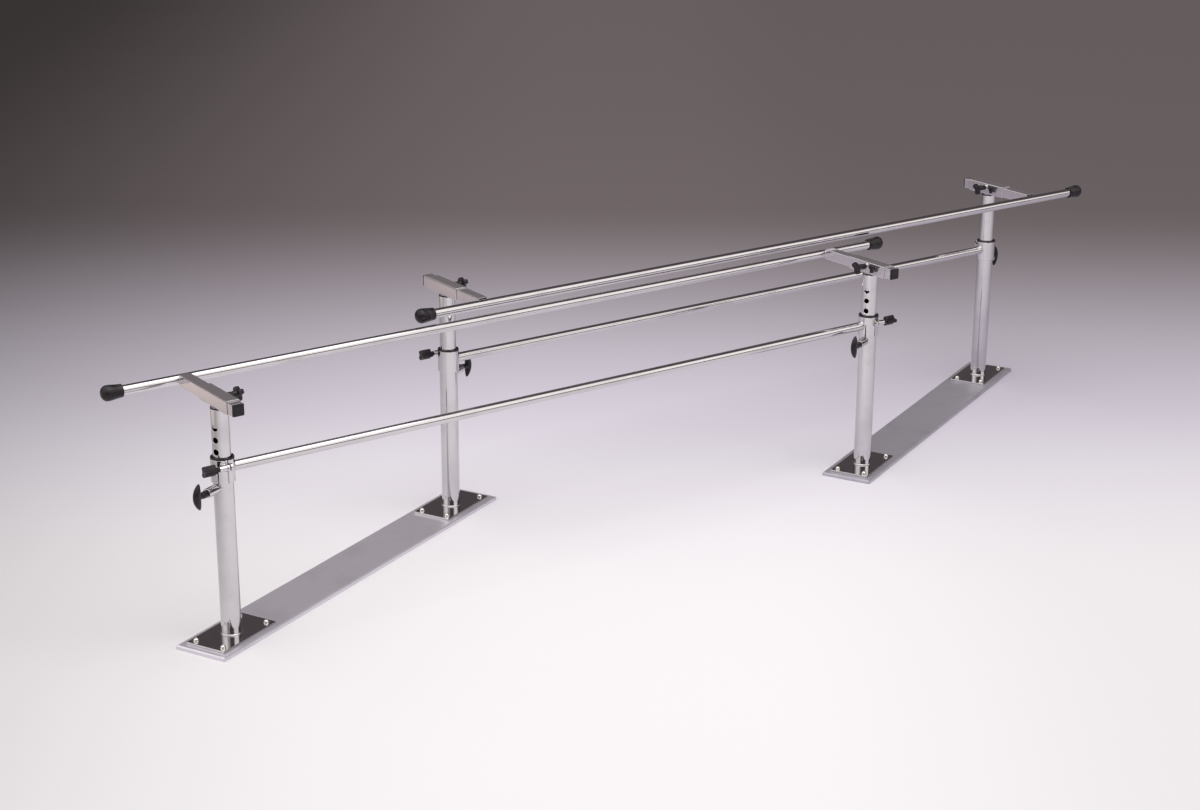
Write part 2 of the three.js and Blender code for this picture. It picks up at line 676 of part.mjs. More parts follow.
// The square arm along Y, with its tail at -Y and its end coped round the handrail at +Y.
function armTube() {
  const tip = HANDRAIL_INSET - HANDRAIL_RADIUS - GAP + ARM_COPE;
  const body = solid(squareBar(ARM_SIDE, ARM_CORNER, -ARM_TAIL, tip));
  const bore = ARM_SIDE - 2 * ARM_WALL;
  const hollow = solid(squareBar(bore, ARM_CORNER / 2, -ARM_TAIL - OVERRUN, tip + OVERRUN));
  const cope = drillX(HANDRAIL_RADIUS + GAP, -ARM_SIDE, ARM_SIDE, HANDRAIL_INSET, 0, TUBE_SIDES);
  return geometryOf(cut(body, hollow, solid(cope)));
}

// The black plug in the arm's tail.
function armPlug() {
  const head = squareBar(ARM_SIDE, ARM_CORNER, -ARM_TAIL - GAP - PLUG_HEAD, -ARM_TAIL - GAP);
  const side = ARM_SIDE - 2 * ARM_WALL - 2 * GAP;
  const shank = squareBar(side, ARM_CORNER / 2, -ARM_TAIL - PLUG_HEAD / 2, -ARM_TAIL + PLUG_SHANK);
  return geometryOf(join(solid(head), solid(shank)));
}

// One handrail along X, centred.
function handrail() {
  const half = RAIL_SPAN / 2 + HANDRAIL_OVERHANG;
  const geometry = tube(HANDRAIL_RADIUS, HANDRAIL_RADIUS - RAIL_WALL, -half, half, TUBE_SIDES);
  geometry.rotateY(Math.PI / 2);
  return geometry;
}

// The rubber cap along +Z: its mouth at z = 0, then a neck, and a bulb with a domed end.
function railCap() {
  const bulbEnd = CAP_LENGTH - CAP_END;
  const dome = quarterRound(0, bulbEnd, CAP_BULB_RADIUS, CAP_END, CAP_STEPS);
  dome[CAP_STEPS][0] = 0;
  const bore = HANDRAIL_RADIUS + GAP;
  return turned([
    [0, bulbEnd + GAP],
    [bore, bulbEnd + GAP],
    [bore, 0],
    [CAP_MOUTH_RADIUS - CAP_ROUNDING, 0],
    [CAP_MOUTH_RADIUS, CAP_ROUNDING],
    [CAP_MOUTH_RADIUS, CAP_BULB_START],
    ...dome,
  ], TUBE_SIDES);
}

// A named piece in its own place.
function piece(name, geometry, material) {
  const mesh = new THREE.Mesh(geometry, material);
  mesh.name = name;
  return mesh;
}

const bars = new THREE.Group();

// The four posts: side is -1 at the front and 1 at the rear, and end is -1 at the left.
const alongBase = (POST_SPAN / 2) * Math.cos(FOLD_ANGLE);
const acrossBase = (POST_SPAN / 2) * Math.sin(FOLD_ANGLE);
const stations = [];
for (const [side, sideName, hole] of [[-1, 'front', FRONT_PIN_COUNT], [1, 'rear', REAR_PIN_COUNT]]) {
  for (const [end, endName] of [[-1, 'left'], [1, 'right']]) {
    stations.push({
      side,
      end,
      label: `${sideName}_${endName}`,
      x: end * RAIL_SPAN / 2 + side * alongBase,
      y: side * acrossBase,
      top: LOCK_HEIGHT + hole * HOLE_PITCH + TOP_HOLE_DROP,
    });
  }
}

// Base plates
for (const [end, endName] of [[-1, 'left'], [1, 'right']]) {
  const plate = piece(`base_plate_${endName}`, basePlate(), satin);
  plate.position.x = end * RAIL_SPAN / 2;
  plate.rotation.z = FOLD_ANGLE;
  bars.add(plate);
}

// What stands on each base, turned so that +X points out along the plate
for (const { side, label, x, y, top } of stations) {
  const post = new THREE.Group();
  post.position.set(x, y, 0);
  post.rotation.z = FOLD_ANGLE + (side < 0 ? Math.PI : 0);
  post.add(piece(`outer_post_${label}`, outerPost(), chrome));
  post.add(piece(`guide_bush_${label}`, guideBush(), plastic));
  post.add(piece(`plunger_${label}`, plunger(), plastic));
  post.add(piece(`plunger_spring_${label}`, plungerSpring(), spring));
  const inner = piece(`inner_post_${label}`, innerPost(), chrome);
  inner.position.z = top;
  post.add(inner);
  bars.add(post);
}

// Lower rails, and their collars with the clamp knobs
for (const [side, sideName] of [[-1, 'front'], [1, 'rear']]) {
  const lower = new THREE.Group();
  lower.position.set(side * alongBase, side * acrossBase, 0);
  lower.add(piece(`lower_rail_${sideName}`, lowerRail(side), chrome));
  for (const [end, endName] of [[-1, 'left'], [1, 'right']]) {
    const hand = -side * end;
    const ring = atCollar(collar(hand), end, side);
    lower.add(piece(`collar_${sideName}_${endName}`, ring, chrome));
    const knob = collarKnob();
    knob.rotateX(-end * Math.PI / 2);
    knob.rotateZ(hand * Math.PI / 2);
    knob.translate(LUG_OFFSET, 0, COLLAR_KNOB_HEIGHT);
    const clamp = atCollar(knob, end, side);
    lower.add(piece(`collar_knob_${sideName}_${endName}`, clamp, plastic));
  }
  bars.add(lower);
}

// Arms: the sleeve and its knobs are turned to face along the rails, and the square arm
// points from its plug in towards the handrail
for (const { side, end, label, x, y, top } of stations) {
  const middle = top + ARM_RAISE;
  const swivel = new THREE.Group();
  swivel.position.set(x, y, middle);
  swivel.rotation.z = end < 0 ? 0 : Math.PI;
  swivel.add(piece(`arm_sleeve_${label}`, armSleeve(end), chrome));
  const width = piece(`width_knob_${label}`, widthKnob(), plastic);
  width.position.z = WIDTH_KNOB_RAISE;
  swivel.add(width);
  const steadyHead = SLEEVE_SIDE / 2 + STEADY_STANDOFF;
  const steady = piece(`steady_knob_${label}`, steadyKnob(ARM_SIDE / 2 + GAP, steadyHead), plastic);
  steady.position.set(0, end * STEADY_SHIFT, WIDTH_KNOB_RAISE);
  swivel.add(steady);
  bars.add(swivel);
  const arm = new THREE.Group();
  arm.position.set(x, y, middle);
  arm.rotation.z = side < 0 ? 0 : Math.PI;
  arm.add(piece(`arm_tube_${label}`, armTube(), chrome));
  arm.add(piece(`arm_plug_${label}`, armPlug(), plastic));
  bars.add(arm);
}

// Handrails and their caps
for (const [side, sideName] of [[-1, 'front'], [1, 'rear']]) {
  const rail = new THREE.Group();
  const { top } = stations.find((station) => station.side === side);
  rail.position.set(side * alongBase, side * (acrossBase - HANDRAIL_INSET), top + ARM_RAISE);
  rail.add(piece(`handrail_${sideName}`, handrail(), chrome));
  for (const [end, endName] of [[-1, 'left'], [1, 'right']]) {
    const cap = piece(`rail_cap_${sideName}_${endName}`, railCap(), rubber);
    const mouth = RAIL_SPAN / 2 + HANDRAIL_OVERHANG - (CAP_LENGTH - CAP_END);
    cap.position.x = end * mouth;
    cap.rotation.y = end * Math.PI / 2;
    rail.add(cap);
  }
  bars.add(rail);
}

export default bars;
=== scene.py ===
"""Dresses the folding walking parallel bars for a studio picture.

Laid out as an add-on and run as a script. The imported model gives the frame, and each operator
puts the finished surfaces of one kind of piece round it.
"""
import math

import bmesh
import bpy
import numpy as np
from bpy.props import FloatProperty, FloatVectorProperty, IntProperty, PointerProperty
from mathutils import Matrix, Vector


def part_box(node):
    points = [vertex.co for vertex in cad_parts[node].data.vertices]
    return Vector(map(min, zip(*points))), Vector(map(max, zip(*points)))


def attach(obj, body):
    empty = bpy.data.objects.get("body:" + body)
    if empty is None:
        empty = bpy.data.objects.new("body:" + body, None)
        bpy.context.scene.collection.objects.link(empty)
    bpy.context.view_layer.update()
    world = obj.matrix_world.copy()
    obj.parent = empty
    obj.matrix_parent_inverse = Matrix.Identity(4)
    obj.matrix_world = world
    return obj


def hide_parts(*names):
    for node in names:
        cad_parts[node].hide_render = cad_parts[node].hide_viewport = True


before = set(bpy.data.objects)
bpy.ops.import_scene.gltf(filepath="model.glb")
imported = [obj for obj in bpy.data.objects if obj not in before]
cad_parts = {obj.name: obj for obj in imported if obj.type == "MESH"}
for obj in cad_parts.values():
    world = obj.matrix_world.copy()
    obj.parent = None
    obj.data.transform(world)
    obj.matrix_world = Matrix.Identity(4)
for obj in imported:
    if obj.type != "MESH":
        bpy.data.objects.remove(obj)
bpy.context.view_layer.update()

bl_info = {
    "name": "Walking parallel bars",
    "version": (1, 0, 0),
    "blender": (4, 5, 0),
    "location": "View3D > Sidebar > Bars",
    "description": "Finished surfaces for a pair of folding parallel bars",
    "category": "Object",
}

SIDES = {"front": -1, "rear": 1}
ENDS = {"left": -1, "right": 1}
STATIONS = [(side, end, f"{side}_{end}") for side in SIDES for end in ENDS]
ROUND = 2 * math.pi
WELD = 1e-6  # points closer than this are one point
BITE = 0.001  # how far one shell of a piece reaches into the next
BEADS = {"boss": 0.0016, "rail": 0.0026, "lug": 0.0012, "sleeve": 0.0013, "arm side": 0.0021,
         "arm top": 0.0032}  # radii of the weld beads
METAL = {"Metallic": 1.0}
MOULDED = {"Specular IOR Level": 0.26}
AHEAD = (0.585, 0.811, 0.0)  # the way the camera looks, over the floor
ACROSS = (0.811, -0.585, 0.0)  # to the camera's right, over the floor
TO_X = Matrix.Rotation(math.pi / 2, 4, "Y")  # turns +Z to +X


def length(name, description, default):
    """A length in metres for the sidebar."""
    return FloatProperty(name=name, description=description, default=default, min=0.0,
                         unit="LENGTH", precision=5)


def colour(name, description, default):
    """A colour for the sidebar."""
    return FloatVectorProperty(name=name, description=description, default=default, size=3,
                               subtype="COLOR", min=0.0, max=1.0)


class BarSizes(bpy.types.PropertyGroup):
    """Sizes of the bars."""

    rail_span: length("Rail span", "Between the two posts under one handrail", 2.622)
    post_span: length("Post span", "Between the two posts of one base", 1.253)
    fold: FloatProperty(name="Fold", description="From the rails to the base plates", unit="ROTATION",
                        default=math.radians(25.05))
    inset: length("Handrail inset", "From the line of the posts in to the handrail", 0.242)
    gap: length("Gap", "Between pieces that touch", 0.0003)
    plate_width: length("Plate width", "Across a base plate", 0.188)
    plate_overhang: length("Plate overhang", "Past each post's axis", 0.155)
    plate_thickness: length("Plate thickness", "Of a base plate", 0.012)
    plate_bevel: length("Plate bevel", "Width of the bevelled edge", 0.005)
    flange_length: length("Flange length", "Along the base plate", 0.260)
    flange_width: length("Flange width", "Across the base plate", 0.146)
    flange_thickness: length("Flange thickness", "Of the plate welded under a post", 0.006)
    bolt_along: length("Bolts along", "From the post's axis, along the plate", 0.108)
    bolt_across: length("Bolts across", "From the post's axis, across the plate", 0.052)
    bolt_radius: length("Bolt head radius", "Of a domed flange bolt", 0.0085)
    bolt_height: length("Bolt head height", "Of a domed flange bolt", 0.010)
    post_radius: length("Post radius", "Outside of the outer post", 0.03175)
    post_wall: length("Post wall", "Of the outer post", 0.00165)
    post_top: length("Post top", "Above the floor", 0.595)
    bead: length("Weld bead", "Radius of the bead round the post's foot", 0.0036)
    inner_radius: length("Inner post radius", "Outside of the inner post", 0.028575)
    inner_wall: length("Inner post wall", "Of the inner post", 0.002)
    inner_length: length("Inner post length", "From end to end", 0.613)
    hole_radius: length("Hole radius", "Of a height hole", 0.0095)
    hole_pitch: length("Hole pitch", "Between height holes", 0.0381)
    hole_count: IntProperty(name="Holes", description="Height holes in an inner post", default=15)
    hole_drop: length("Hole drop", "From the inner post's top to its first hole", 0.0583)
    bush_radius: length("Bush radius", "Rim of the guide bush", 0.0364)
    bush_height: length("Bush height", "Rim of the guide bush", 0.005)
    bush_skirt: length("Bush skirt", "Part inside the outer post", 0.040)
    collar_radius: length("Collar radius", "Outside of a collar", 0.037)
    collar_height: length("Collar height", "Of a collar", 0.075)
    lug_offset: length("Lug offset", "From the post's axis out to the clamp screw", 0.045)
    lug_round: length("Lug radius", "Round the clamp screw", 0.012)
    lug_thickness: length("Lug thickness", "Of each of a collar's two lugs", 0.007)
    lug_slot: length("Slot", "Between a collar's two lugs", 0.004)
    lug_boss: length("Lug boss radius", "Round the clamp screw, on the knob's side", 0.009)
    lug_reach: length("Lug boss reach", "From the slot's middle", 0.033)
    grip_knob_radius: length("Collar knob radius", "Of the long clamp knob", 0.0185)
    grip_knob_waist: length("Collar knob waist", "Radius between its lobes", 0.010)
    grip_knob_arm: length("Collar knob lobe", "Half the width of its lobe", 0.0062)
    grip_knob_thickness: length("Collar knob thickness", "Of its head", 0.042)
    grip_barrel_radius: length("Collar knob barrel", "Radius of its barrel", 0.009)
    grip_barrel_length: length("Collar knob barrel length", "From the boss to its head", 0.010)
    rail_radius: length("Rail radius", "Outside of handrails and lower rails", 0.015875)
    rail_wall: length("Rail wall", "Of handrails and lower rails", 0.00165)
    lower_drop: length("Lower rail drop", "From the collar's top to the lower rail", 0.035)
    knob_drop: length("Collar knob drop", "From the collar's top to its knob", 0.020)
    knob_radius: length("Knob radius", "Of a clamp knob", 0.024)
    knob_waist: length("Knob waist", "Radius between a clamp knob's lobes", 0.011)
    knob_arm: length("Knob lobe", "Half the width of a clamp knob's lobe", 0.0082)
    knob_thickness: length("Knob thickness", "Of a clamp knob's head", 0.018)
    barrel_radius: length("Barrel radius", "Of a clamp knob's barrel", 0.011)
    barrel_length: length("Barrel length", "Of a clamp knob's barrel", 0.028)
    steady_radius: length("Steady knob radius", "Of the small knob", 0.015)
    steady_waist: length("Steady knob waist", "Between its lobes", 0.008)
    steady_thickness: length("Steady knob thickness", "Of its head", 0.012)
    steady_shift: length("Steady knob shift", "From the width knob, along the sleeve", 0.042)
    steady_standoff: length("Steady knob standoff", "From the sleeve's face", 0.005)
    stud_radius: length("Stud radius", "Of a clamp stud", 0.004)
    lock_height: length("Plunger height", "Above the floor", 0.504)
    boss_radius: length("Plunger boss radius", "Of the boss on the outer post", 0.015)
    boss_reach: length("Plunger boss reach", "From the post's axis", 0.082)
    neck_radius: length("Plunger neck radius", "Behind the grip", 0.011)
    neck_reach: length("Plunger neck reach", "From the post's axis", 0.117)
    grip_reach: length("Grip reach", "From the post's axis to the grip's face", 0.139)
    grip_height: length("Grip height", "From tip to tip", 0.084)
    grip_depth: length("Grip depth", "Along the plunger, at the middle", 0.024)
    grip_width: length("Grip width", "Across the plunger", 0.022)
    grip_tip: length("Grip tip", "Depth near the tips", 0.009)
    grip_sweep: length("Grip sweep", "How far the tips curve back", 0.018)
    sleeve_side: length("Sleeve side", "Of the square sleeve", 0.04445)
    sleeve_length: length("Sleeve length", "Of the square sleeve", 0.184)
    sleeve_corner: length("Sleeve corner", "Rounding of the square sleeve", 0.004)
    slide_gap: length("Slide gap", "Between arm and sleeve", 0.0004)
    spindle_length: length("Spindle length", "Inside the inner post", 0.058)
    spindle_shoulder: length("Shoulder", "Between inner post and sleeve", 0.005)
    width_boss: length("Width boss radius", "Round the width knob's stud", 0.011)
    width_boss_length: length("Width boss length", "From the sleeve's face", 0.006)
    width_raise: length("Width knob raise", "Above the sleeve's middle", 0.006)
    arm_side: length("Arm side", "Of the square arm", 0.0381)
    arm_wall: length("Arm wall", "Of the square arm", 0.002)
    arm_corner: length("Arm corner", "Rounding of the square arm", 0.003)
    arm_tail: length("Arm tail", "From the post's axis out to the arm's end", 0.123)
    arm_cope: length("Arm cope", "Depth of the hollow that takes the handrail's side", 0.002)
    plug_head: length("Plug head", "Thickness of the end plug", 0.005)
    plug_shank: length("Plug shank", "Part inside the arm", 0.018)
    overhang: length("Handrail overhang", "Past each post's axis", 0.255)
    cap_length: length("Cap length", "Of a rubber cap", 0.068)
    cap_end: length("Cap end", "Past the handrail's end", 0.017)
    cap_mouth: length("Cap mouth radius", "At the handrail", 0.021)
    cap_bulb: length("Cap bulb radius", "At the widest", 0.025)


class BarColours(bpy.types.PropertyGroup):
    """Colours of the finishes and of the studio."""

    chrome: colour("Chrome", "Bright plated tube", (0.64, 0.62, 0.64))
    chrome_worn: colour("Handled chrome", "Plated tube where hands dull it", (0.58, 0.56, 0.58))
    chrome_square: colour("Square tube", "Softer plating of the arms and sleeves", (0.648, 0.612, 0.652))
    satin: colour("Satin plate", "Base plates", (0.74, 0.71, 0.79))
    # Streaks, and also painted shade that greys the right base plate.
    satin_streaks_and_shade: colour("Streaked and shaded satin", "Streaks of base plates, and painted shade greying the right plate", (0.43, 0.415, 0.475))
    zinc: colour("Bolt", "Bright flange bolts", (0.86, 0.84, 0.80))
    steel: colour("Bare steel", "Studs and springs", (0.45, 0.45, 0.47))
    # Partly painted shade: near-black so the holes in the inner posts read dark; it also tints the oil
    # patches on bare steel.
    hollow: colour("Shaded inside of a tube", "Unplated inside of a tube, painted near-black as shade", (0.02, 0.02, 0.022))
    plastic: colour("Black plastic", "Knobs, plugs and bushes", (0.014, 0.0105, 0.0145))
    plastic_worn: colour("Rubbed plastic", "Where knobs are held", (0.026, 0.025, 0.028))
    rubber: colour("Rubber", "Handrail caps", (0.016, 0.0125, 0.0165))
    rubber_dusty: colour("Dusty rubber", "Bloom on the caps", (0.034, 0.033, 0.035))
    # The floor colours hold painted shade: from near to middle to far they darken as the studio light falls
    # off.
    floor_near: colour("Near floor", "Floor before the bars", (0.812, 0.801, 0.837))
    floor_middle_shaded: colour("Middle floor", "Floor among the bars, with painted shade", (0.671, 0.637, 0.748))
    floor_aside: colour("Floor aside", "Floor left of the picture", (0.80, 0.72, 0.68))
    floor_far_shade: colour("Far floor", "Painted shade of the floor at the back of the studio", (0.158, 0.135, 0.143))


# Surfaces

def grid(points, around=True, along=False):
    """Quads between the rows and columns of points; around joins the last column to the first, and
    along joins the last row to the first."""
    rows, columns = points.shape[:2]
    number = np.arange(rows * columns).reshape(rows, columns)
    if along:
        number = np.vstack([number, number[:1]])
    if around:
        number = np.hstack([number, number[:, :1]])
    corners = [number[:-1, :-1], number[:-1, 1:], number[1:, 1:], number[1:, :-1]]
    return points.reshape(-1, 3), np.stack(corners, axis=-1).reshape(-1, 4)


def even_turn(steps):
    """Even angles once round."""
    return np.arange(steps) * ROUND / steps


def xyz(x, y, z):
    """Points from their coordinates, each an array or one number."""
    return np.stack(np.broadcast_arrays(x, y, z), axis=-1)


def polar(radius, angle, z):
    """Points at an angle about Z: x = radius cos angle, y = radius sin angle."""
    return xyz(radius * np.cos(angle), radius * np.sin(angle), z)


def outline(corners, steps=5, closed=True):
    """Points through corners (a, b, rounding). Each rounded corner is a circular arc that touches both
    its edges, with one more point a little before and after it, so that flat faces shade flat."""
    points = []
    last = len(corners) - 1
    for i, (a, b, radius) in enumerate(corners):
        here = np.array([a, b], dtype=float)
        if radius <= 0 or (not closed and i in (0, last)):
            points.append(here[None])
            continue
        before = np.array(corners[i - 1][:2]) - here
        after = np.array(corners[(i + 1) % len(corners)][:2]) - here
        before_length, after_length = np.linalg.norm(before), np.linalg.norm(after)
        before, after = before / before_length, after / after_length
        half = math.acos(max(-1.0, min(1.0, float(before @ after)))) / 2
        reach = radius / math.tan(half)
        centre = here + (before + after) / np.linalg.norm(before + after) * radius / math.sin(half)
        start, stop = here + before * reach - centre, here + after * reach - centre
        turn = math.pi - 2 * half
        share = np.linspace(0, 1, steps + 1)[:, None]
        arc = (np.sin((1 - share) * turn) * start + np.sin(share * turn) * stop) / math.sin(turn)
        hold = 0.3 * radius
        if before_length > 2 * (reach + hold):
            points.append((here + before * (reach + hold))[None])
        points.append(centre + arc)
        if after_length > 2 * (reach + hold):
            points.append((here + after * (reach + hold))[None])
    return np.vstack(points)


def revolved(profile, steps, closed=True):
    """A profile of (radius, z) turned about Z: x = radius cos t, y = radius sin t."""
    radius, z = np.asarray(profile).T[..., None]
    return grid(polar(radius, even_turn(steps), z), along=closed)


def turned(corners, steps, closed=True):
    """Corners (radius, z, rounding) turned about Z. An open profile starts and ends on the axis."""
    return revolved(outline(corners, closed=closed), steps, closed)


def section(inner, outer, low, high, *roundings):
    """The corners of a band between two radii and two heights, from its inner low corner round by its
    outer ones, with their roundings."""
    corners = ((inner, low), (outer, low), (outer, high), (inner, high))
    return [(*corner, rounding) for corner, rounding in zip(corners, roundings)]


def rectangle(half_x, half_y, corner, flats=(), steps=6):
    """Points round a rectangle with rounded corners. Each corner is a quarter circle, and flats are
    the places, from -1 to 1, of more points along each straight side."""
    inner_x, inner_y = half_x - corner, half_y - corner
    turn = np.linspace(0, math.pi / 2, steps + 1)
    rows = []
    for quarter in range(4):
        sign_x = 1 if quarter in (0, 3) else -1
        sign_y = 1 if quarter in (0, 1) else -1
        angle = turn + quarter * math.pi / 2
        rows.append(np.stack([sign_x * inner_x + corner * np.cos(angle),
                              sign_y * inner_y + corner * np.sin(angle)], axis=-1))
        fixed = ((0, half_y), (-half_x, 0), (0, -half_y), (half_x, 0))[quarter]
        heading = ((-inner_x, 0), (0, -inner_y), (inner_x, 0), (0, inner_y))[quarter]
        rows.append(np.array(fixed) + np.asarray(flats)[:, None] * np.array(heading))
    return np.vstack(rows)


def square_bar(profile, corner, flats=(-0.97, 0.97)):
    """A square section carried along Y: each profile row (half side, y) gives one rounded square, whose
    rounding shrinks with it."""
    widest = max(half for half, _ in profile)
    loops = []
    for half, y in profile:
        rounding = min(max(corner - (widest - half), 0.1 * corner), half)
        x, z = rectangle(half, half, rounding, flats).T
        loops.append(xyz(x, y, z))
    return np.stack(loops)


def bead(path, out, radius, steps=10, ripple=0.0, ripples=0, closed=True):
    """A weld bead: a circle of the given radius carried along a path, spanned by the unit vectors
    out[0] and out[1] at each point, and swelling by the ripple share along it."""
    swell = 1 + ripple * np.cos(np.linspace(0, ROUND * ripples, len(path)))
    turn = even_turn(steps)[:, None]
    first, second = (np.broadcast_to(way, path.shape)[:, None] for way in out)
    points = path[:, None] + radius * swell[:, None, None] * (np.cos(turn) * first + np.sin(turn) * second)
    if not closed:
        ends = np.repeat(path[[0, -1]][:, None], steps, axis=1)
        points = np.concatenate([ends[:1], points, ends[1:]])
    return grid(points, along=closed)


def saddle(post, boss, z, radius, steps=96):
    """The weld bead where a round boss along +X at height z leaves a round post: its middle is at
    x = root(post^2 - y^2), y = boss cos t, z = boss sin t."""
    turn = even_turn(steps)
    y, up = boss * np.cos(turn), boss * np.sin(turn)
    path = xyz(np.sqrt(post ** 2 - y ** 2), y, z + up)
    outward = xyz(0.0, np.cos(turn), np.sin(turn))
    return bead(path, (outward, (1.0, 0.0, 0.0)), radius, ripple=0.10, ripples=22)


def ring_bead(radius, z, thickness, ripples=18, steps=72):
    """A rippled bead round the Z axis: its middle is at x = radius cos t, y = radius sin t."""
    outward = polar(1.0, even_turn(steps), 0.0)
    path = radius * outward + [0, 0, z]
    return bead(path, (outward, (0.0, 0.0, 1.0)), thickness, ripple=0.06, ripples=ripples)


def boss_shell(s, radius, low, high, edge):
    """A boss on +Z, bored for a stud, with its outer rim rounded."""
    return turned(section(s.stud_radius + s.gap, radius, low, high, 0, 0, edge, 0), 48)


def stud_shell(s, low, high, rows=41):
    """A threaded stud on +Z, in the second finish: every other row lies deeper by the thread's depth."""
    depth = 0.0004
    radius = s.stud_radius - depth * (0.5 + 0.5 * np.cos(np.arange(rows) * math.pi))
    profile = np.column_stack([[0, *radius, 0], [low, *np.linspace(low, high, rows), high]])
    return revolved(profile, 24, closed=False) + (1,)


def lobed(angle, radius, waist, arm):
    """A three-lobed outline: near each lobe's axis the radius is the lesser of the full radius and
    arm / sin(angle from the axis), joined by a power mean, and the waist fills the valleys by another."""
    near = (angle + math.pi / 3) % (ROUND / 3) - math.pi / 3
    side = arm / np.maximum(np.abs(np.sin(near)), 1e-3)
    lobe = (radius ** -9.0 + side ** -9.0) ** (-1 / 9)
    return (lobe ** 7 + waist ** 7) ** (1 / 7)


def knob_head(radius, waist, arm, low, thickness, rounding, steps=120):
    """A lobed head on +Z: rows of the lobed outline, drawn in by a quarter circle at both rims, and a
    shallow dish in the outer face, whose rows (share, depth) are shares of the outer rim and rounding."""
    angle = even_turn(steps)
    shape = lobed(angle, radius, waist, arm)
    quarter = np.linspace(0, math.pi / 2, 7)
    high = low + thickness
    rows = [(rounding * (1 - math.sin(a)), low + rounding * (1 - math.cos(a))) for a in quarter]
    rows += [(rounding * (1 - math.cos(a)), high - rounding * (1 - math.sin(a))) for a in quarter]
    loops = [polar(shape - inset, angle, z) for inset, z in rows]
    dish = ((0.92, 0.0), (0.6, 0.15), (0.3, 0.25), (0.0, 0.275))
    loops += [loops[-1] * [share, share, 1] - [0, 0, depth * rounding] for share, depth in dish]
    return grid(np.stack([loops[0] * [0, 0, 1]] + loops))


def clamp_knob(s, stud, barrel, neck, length, head):
    """A clamp knob on +X. The stud and the flared barrel begin at their places, the barrel's radii are
    shares of the neck's, and the lobed head is (radius, waist, lobe, thickness)."""
    start = barrel + length
    sides = turned([(0, barrel, 0), (0.82 * neck, barrel, 0.001),
                    (0.90 * neck, barrel + 0.3 * length, 0.004), (0.86 * neck, barrel + 0.6 * length, 0.006),
                    (1.05 * neck, start + 0.002, 0), (0, start + 0.004, 0)], 48, closed=False)
    radius, waist, arm, thickness = head
    top = knob_head(radius, waist, arm, start, thickness, 0.16 * radius)
    return [moved(shell, TO_X) for shell in (sides, top, stud_shell(s, stud, barrel + 0.004))]


def reflected(shell, factors):
    """A shell whose coordinates are multiplied by 1 or -1 each."""
    return (shell[0] * np.array(factors), shell[1]) + tuple(shell[2:])


def moved(shell, matrix):
    """A shell carried by a matrix."""
    points, quads = shell[:2]
    turn = np.array(matrix.to_3x3())
    return (points @ turn.T + np.array(matrix.translation), quads) + tuple(shell[2:])


def shift(x=0.0, y=0.0, z=0.0):
    """The matrix of a move."""
    return Matrix.Translation((x, y, z))


def about(axis, angle):
    """The matrix of a turn about an axis."""
    return Matrix.Rotation(angle, 4, axis)


def merged(shells):
    """Points, quads, triangles and finish numbers of closed shells. Points closer than a micrometre are
    one point, and a quad that closes up becomes a triangle or goes."""
    points, quads, finish, start = [], [], [], 0
    for shell in shells:
        points.append(shell[0])
        quads.append(shell[1] + start)
        finish.append(np.full(len(shell[1]), shell[2] if len(shell) > 2 else 0))
        start += len(shell[0])
    points, quads, finish = np.vstack(points), np.vstack(quads), np.concatenate(finish)
    _, first, back = np.unique(np.round(points / WELD).astype(np.int64), axis=0, return_index=True,
                               return_inverse=True)
    quads = back.reshape(-1)[quads]
    same = quads == np.roll(quads, -1, axis=1)
    closing = same.sum(axis=1)
    threes = quads[closing == 1][~same[closing == 1]].reshape(-1, 3)
    finish = np.concatenate([finish[closing == 0], finish[closing == 1]])
    return points[first], quads[closing == 0], threes, finish


def finished(stem, shells, place, materials, body, node=None, crease=38.0):
    """Makes the piece stem_look from closed shells carried to their place. It rides on its body in place
    of the node, or of the stem's own node if none is given. Faces are turned outwards, and edges sharper
    than the crease stay sharp."""
    points, quads, threes, finish = merged([moved(shell, place) for shell in shells])
    mesh = bpy.data.meshes.new(f"{stem}_look")
    mesh.from_pydata(points, [], quads.tolist() + threes.tolist())
    for made in materials:
        mesh.materials.append(made)
    mesh.polygons.foreach_set("material_index", finish.astype(np.int32))
    mesh.validate()
    build = bmesh.new()
    build.from_mesh(mesh)
    bmesh.ops.recalc_face_normals(build, faces=build.faces)
    build.to_mesh(mesh)
    build.free()
    mesh.shade_smooth()
    mesh.set_sharp_from_angle(angle=math.radians(crease))
    piece = bpy.data.objects.new(f"{stem}_look", mesh)
    bpy.context.scene.collection.objects.link(piece)
    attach(piece, body)
    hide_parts(node or stem)


# Places

def post_place(side, end):
    """The matrix of a post: its axis on the floor, turned so that +X points out along the base plate."""
    sizes = bpy.context.scene.bar_sizes
    reach = SIDES[side] * sizes.post_span / 2
    x = ENDS[end] * sizes.rail_span / 2 + reach * math.cos(sizes.fold)
    turn = sizes.fold + (math.pi if SIDES[side] < 0 else 0)
    return shift(x, reach * math.sin(sizes.fold)) @ about("Z", turn)


def arm_height(side):
    """The height of an arm's middle, from its node."""
    low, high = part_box(f"arm_tube_{side}_left")
    return (low[2] + high[2]) / 2


def inner_top(side):
    """The height of an inner post's top, from its node."""
    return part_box(f"inner_post_{side}_left")[1][2]


def arm_place(side, end, flipped):
    """The matrix of an arm's middle over its post, turned half round about Z or not."""
    x, y, _ = post_place(side, end).translation
    return shift(x, y, arm_height(side)) @ about("Z", math.pi if flipped else 0)


def sleeve_place(side, end):
    """The matrix of a sleeve's middle, turned so that its knobs are on +X."""
    return arm_place(side, end, ENDS[end] > 0)


def rail_place(side):
    """The matrix of a handrail's middle."""
    sizes = bpy.context.scene.bar_sizes
    middle = (post_place(side, "left").translation + post_place(side, "right").translation) / 2
    return shift(middle.x, middle.y - SIDES[side] * sizes.inset, arm_height(side))


def collar_place(side, end):
    """The matrix of a collar: on its post's axis, turned so that its lugs are on +X, outwards."""
    return shift(*post_place(side, end).translation) @ about("Z", SIDES[side] * math.pi / 2)


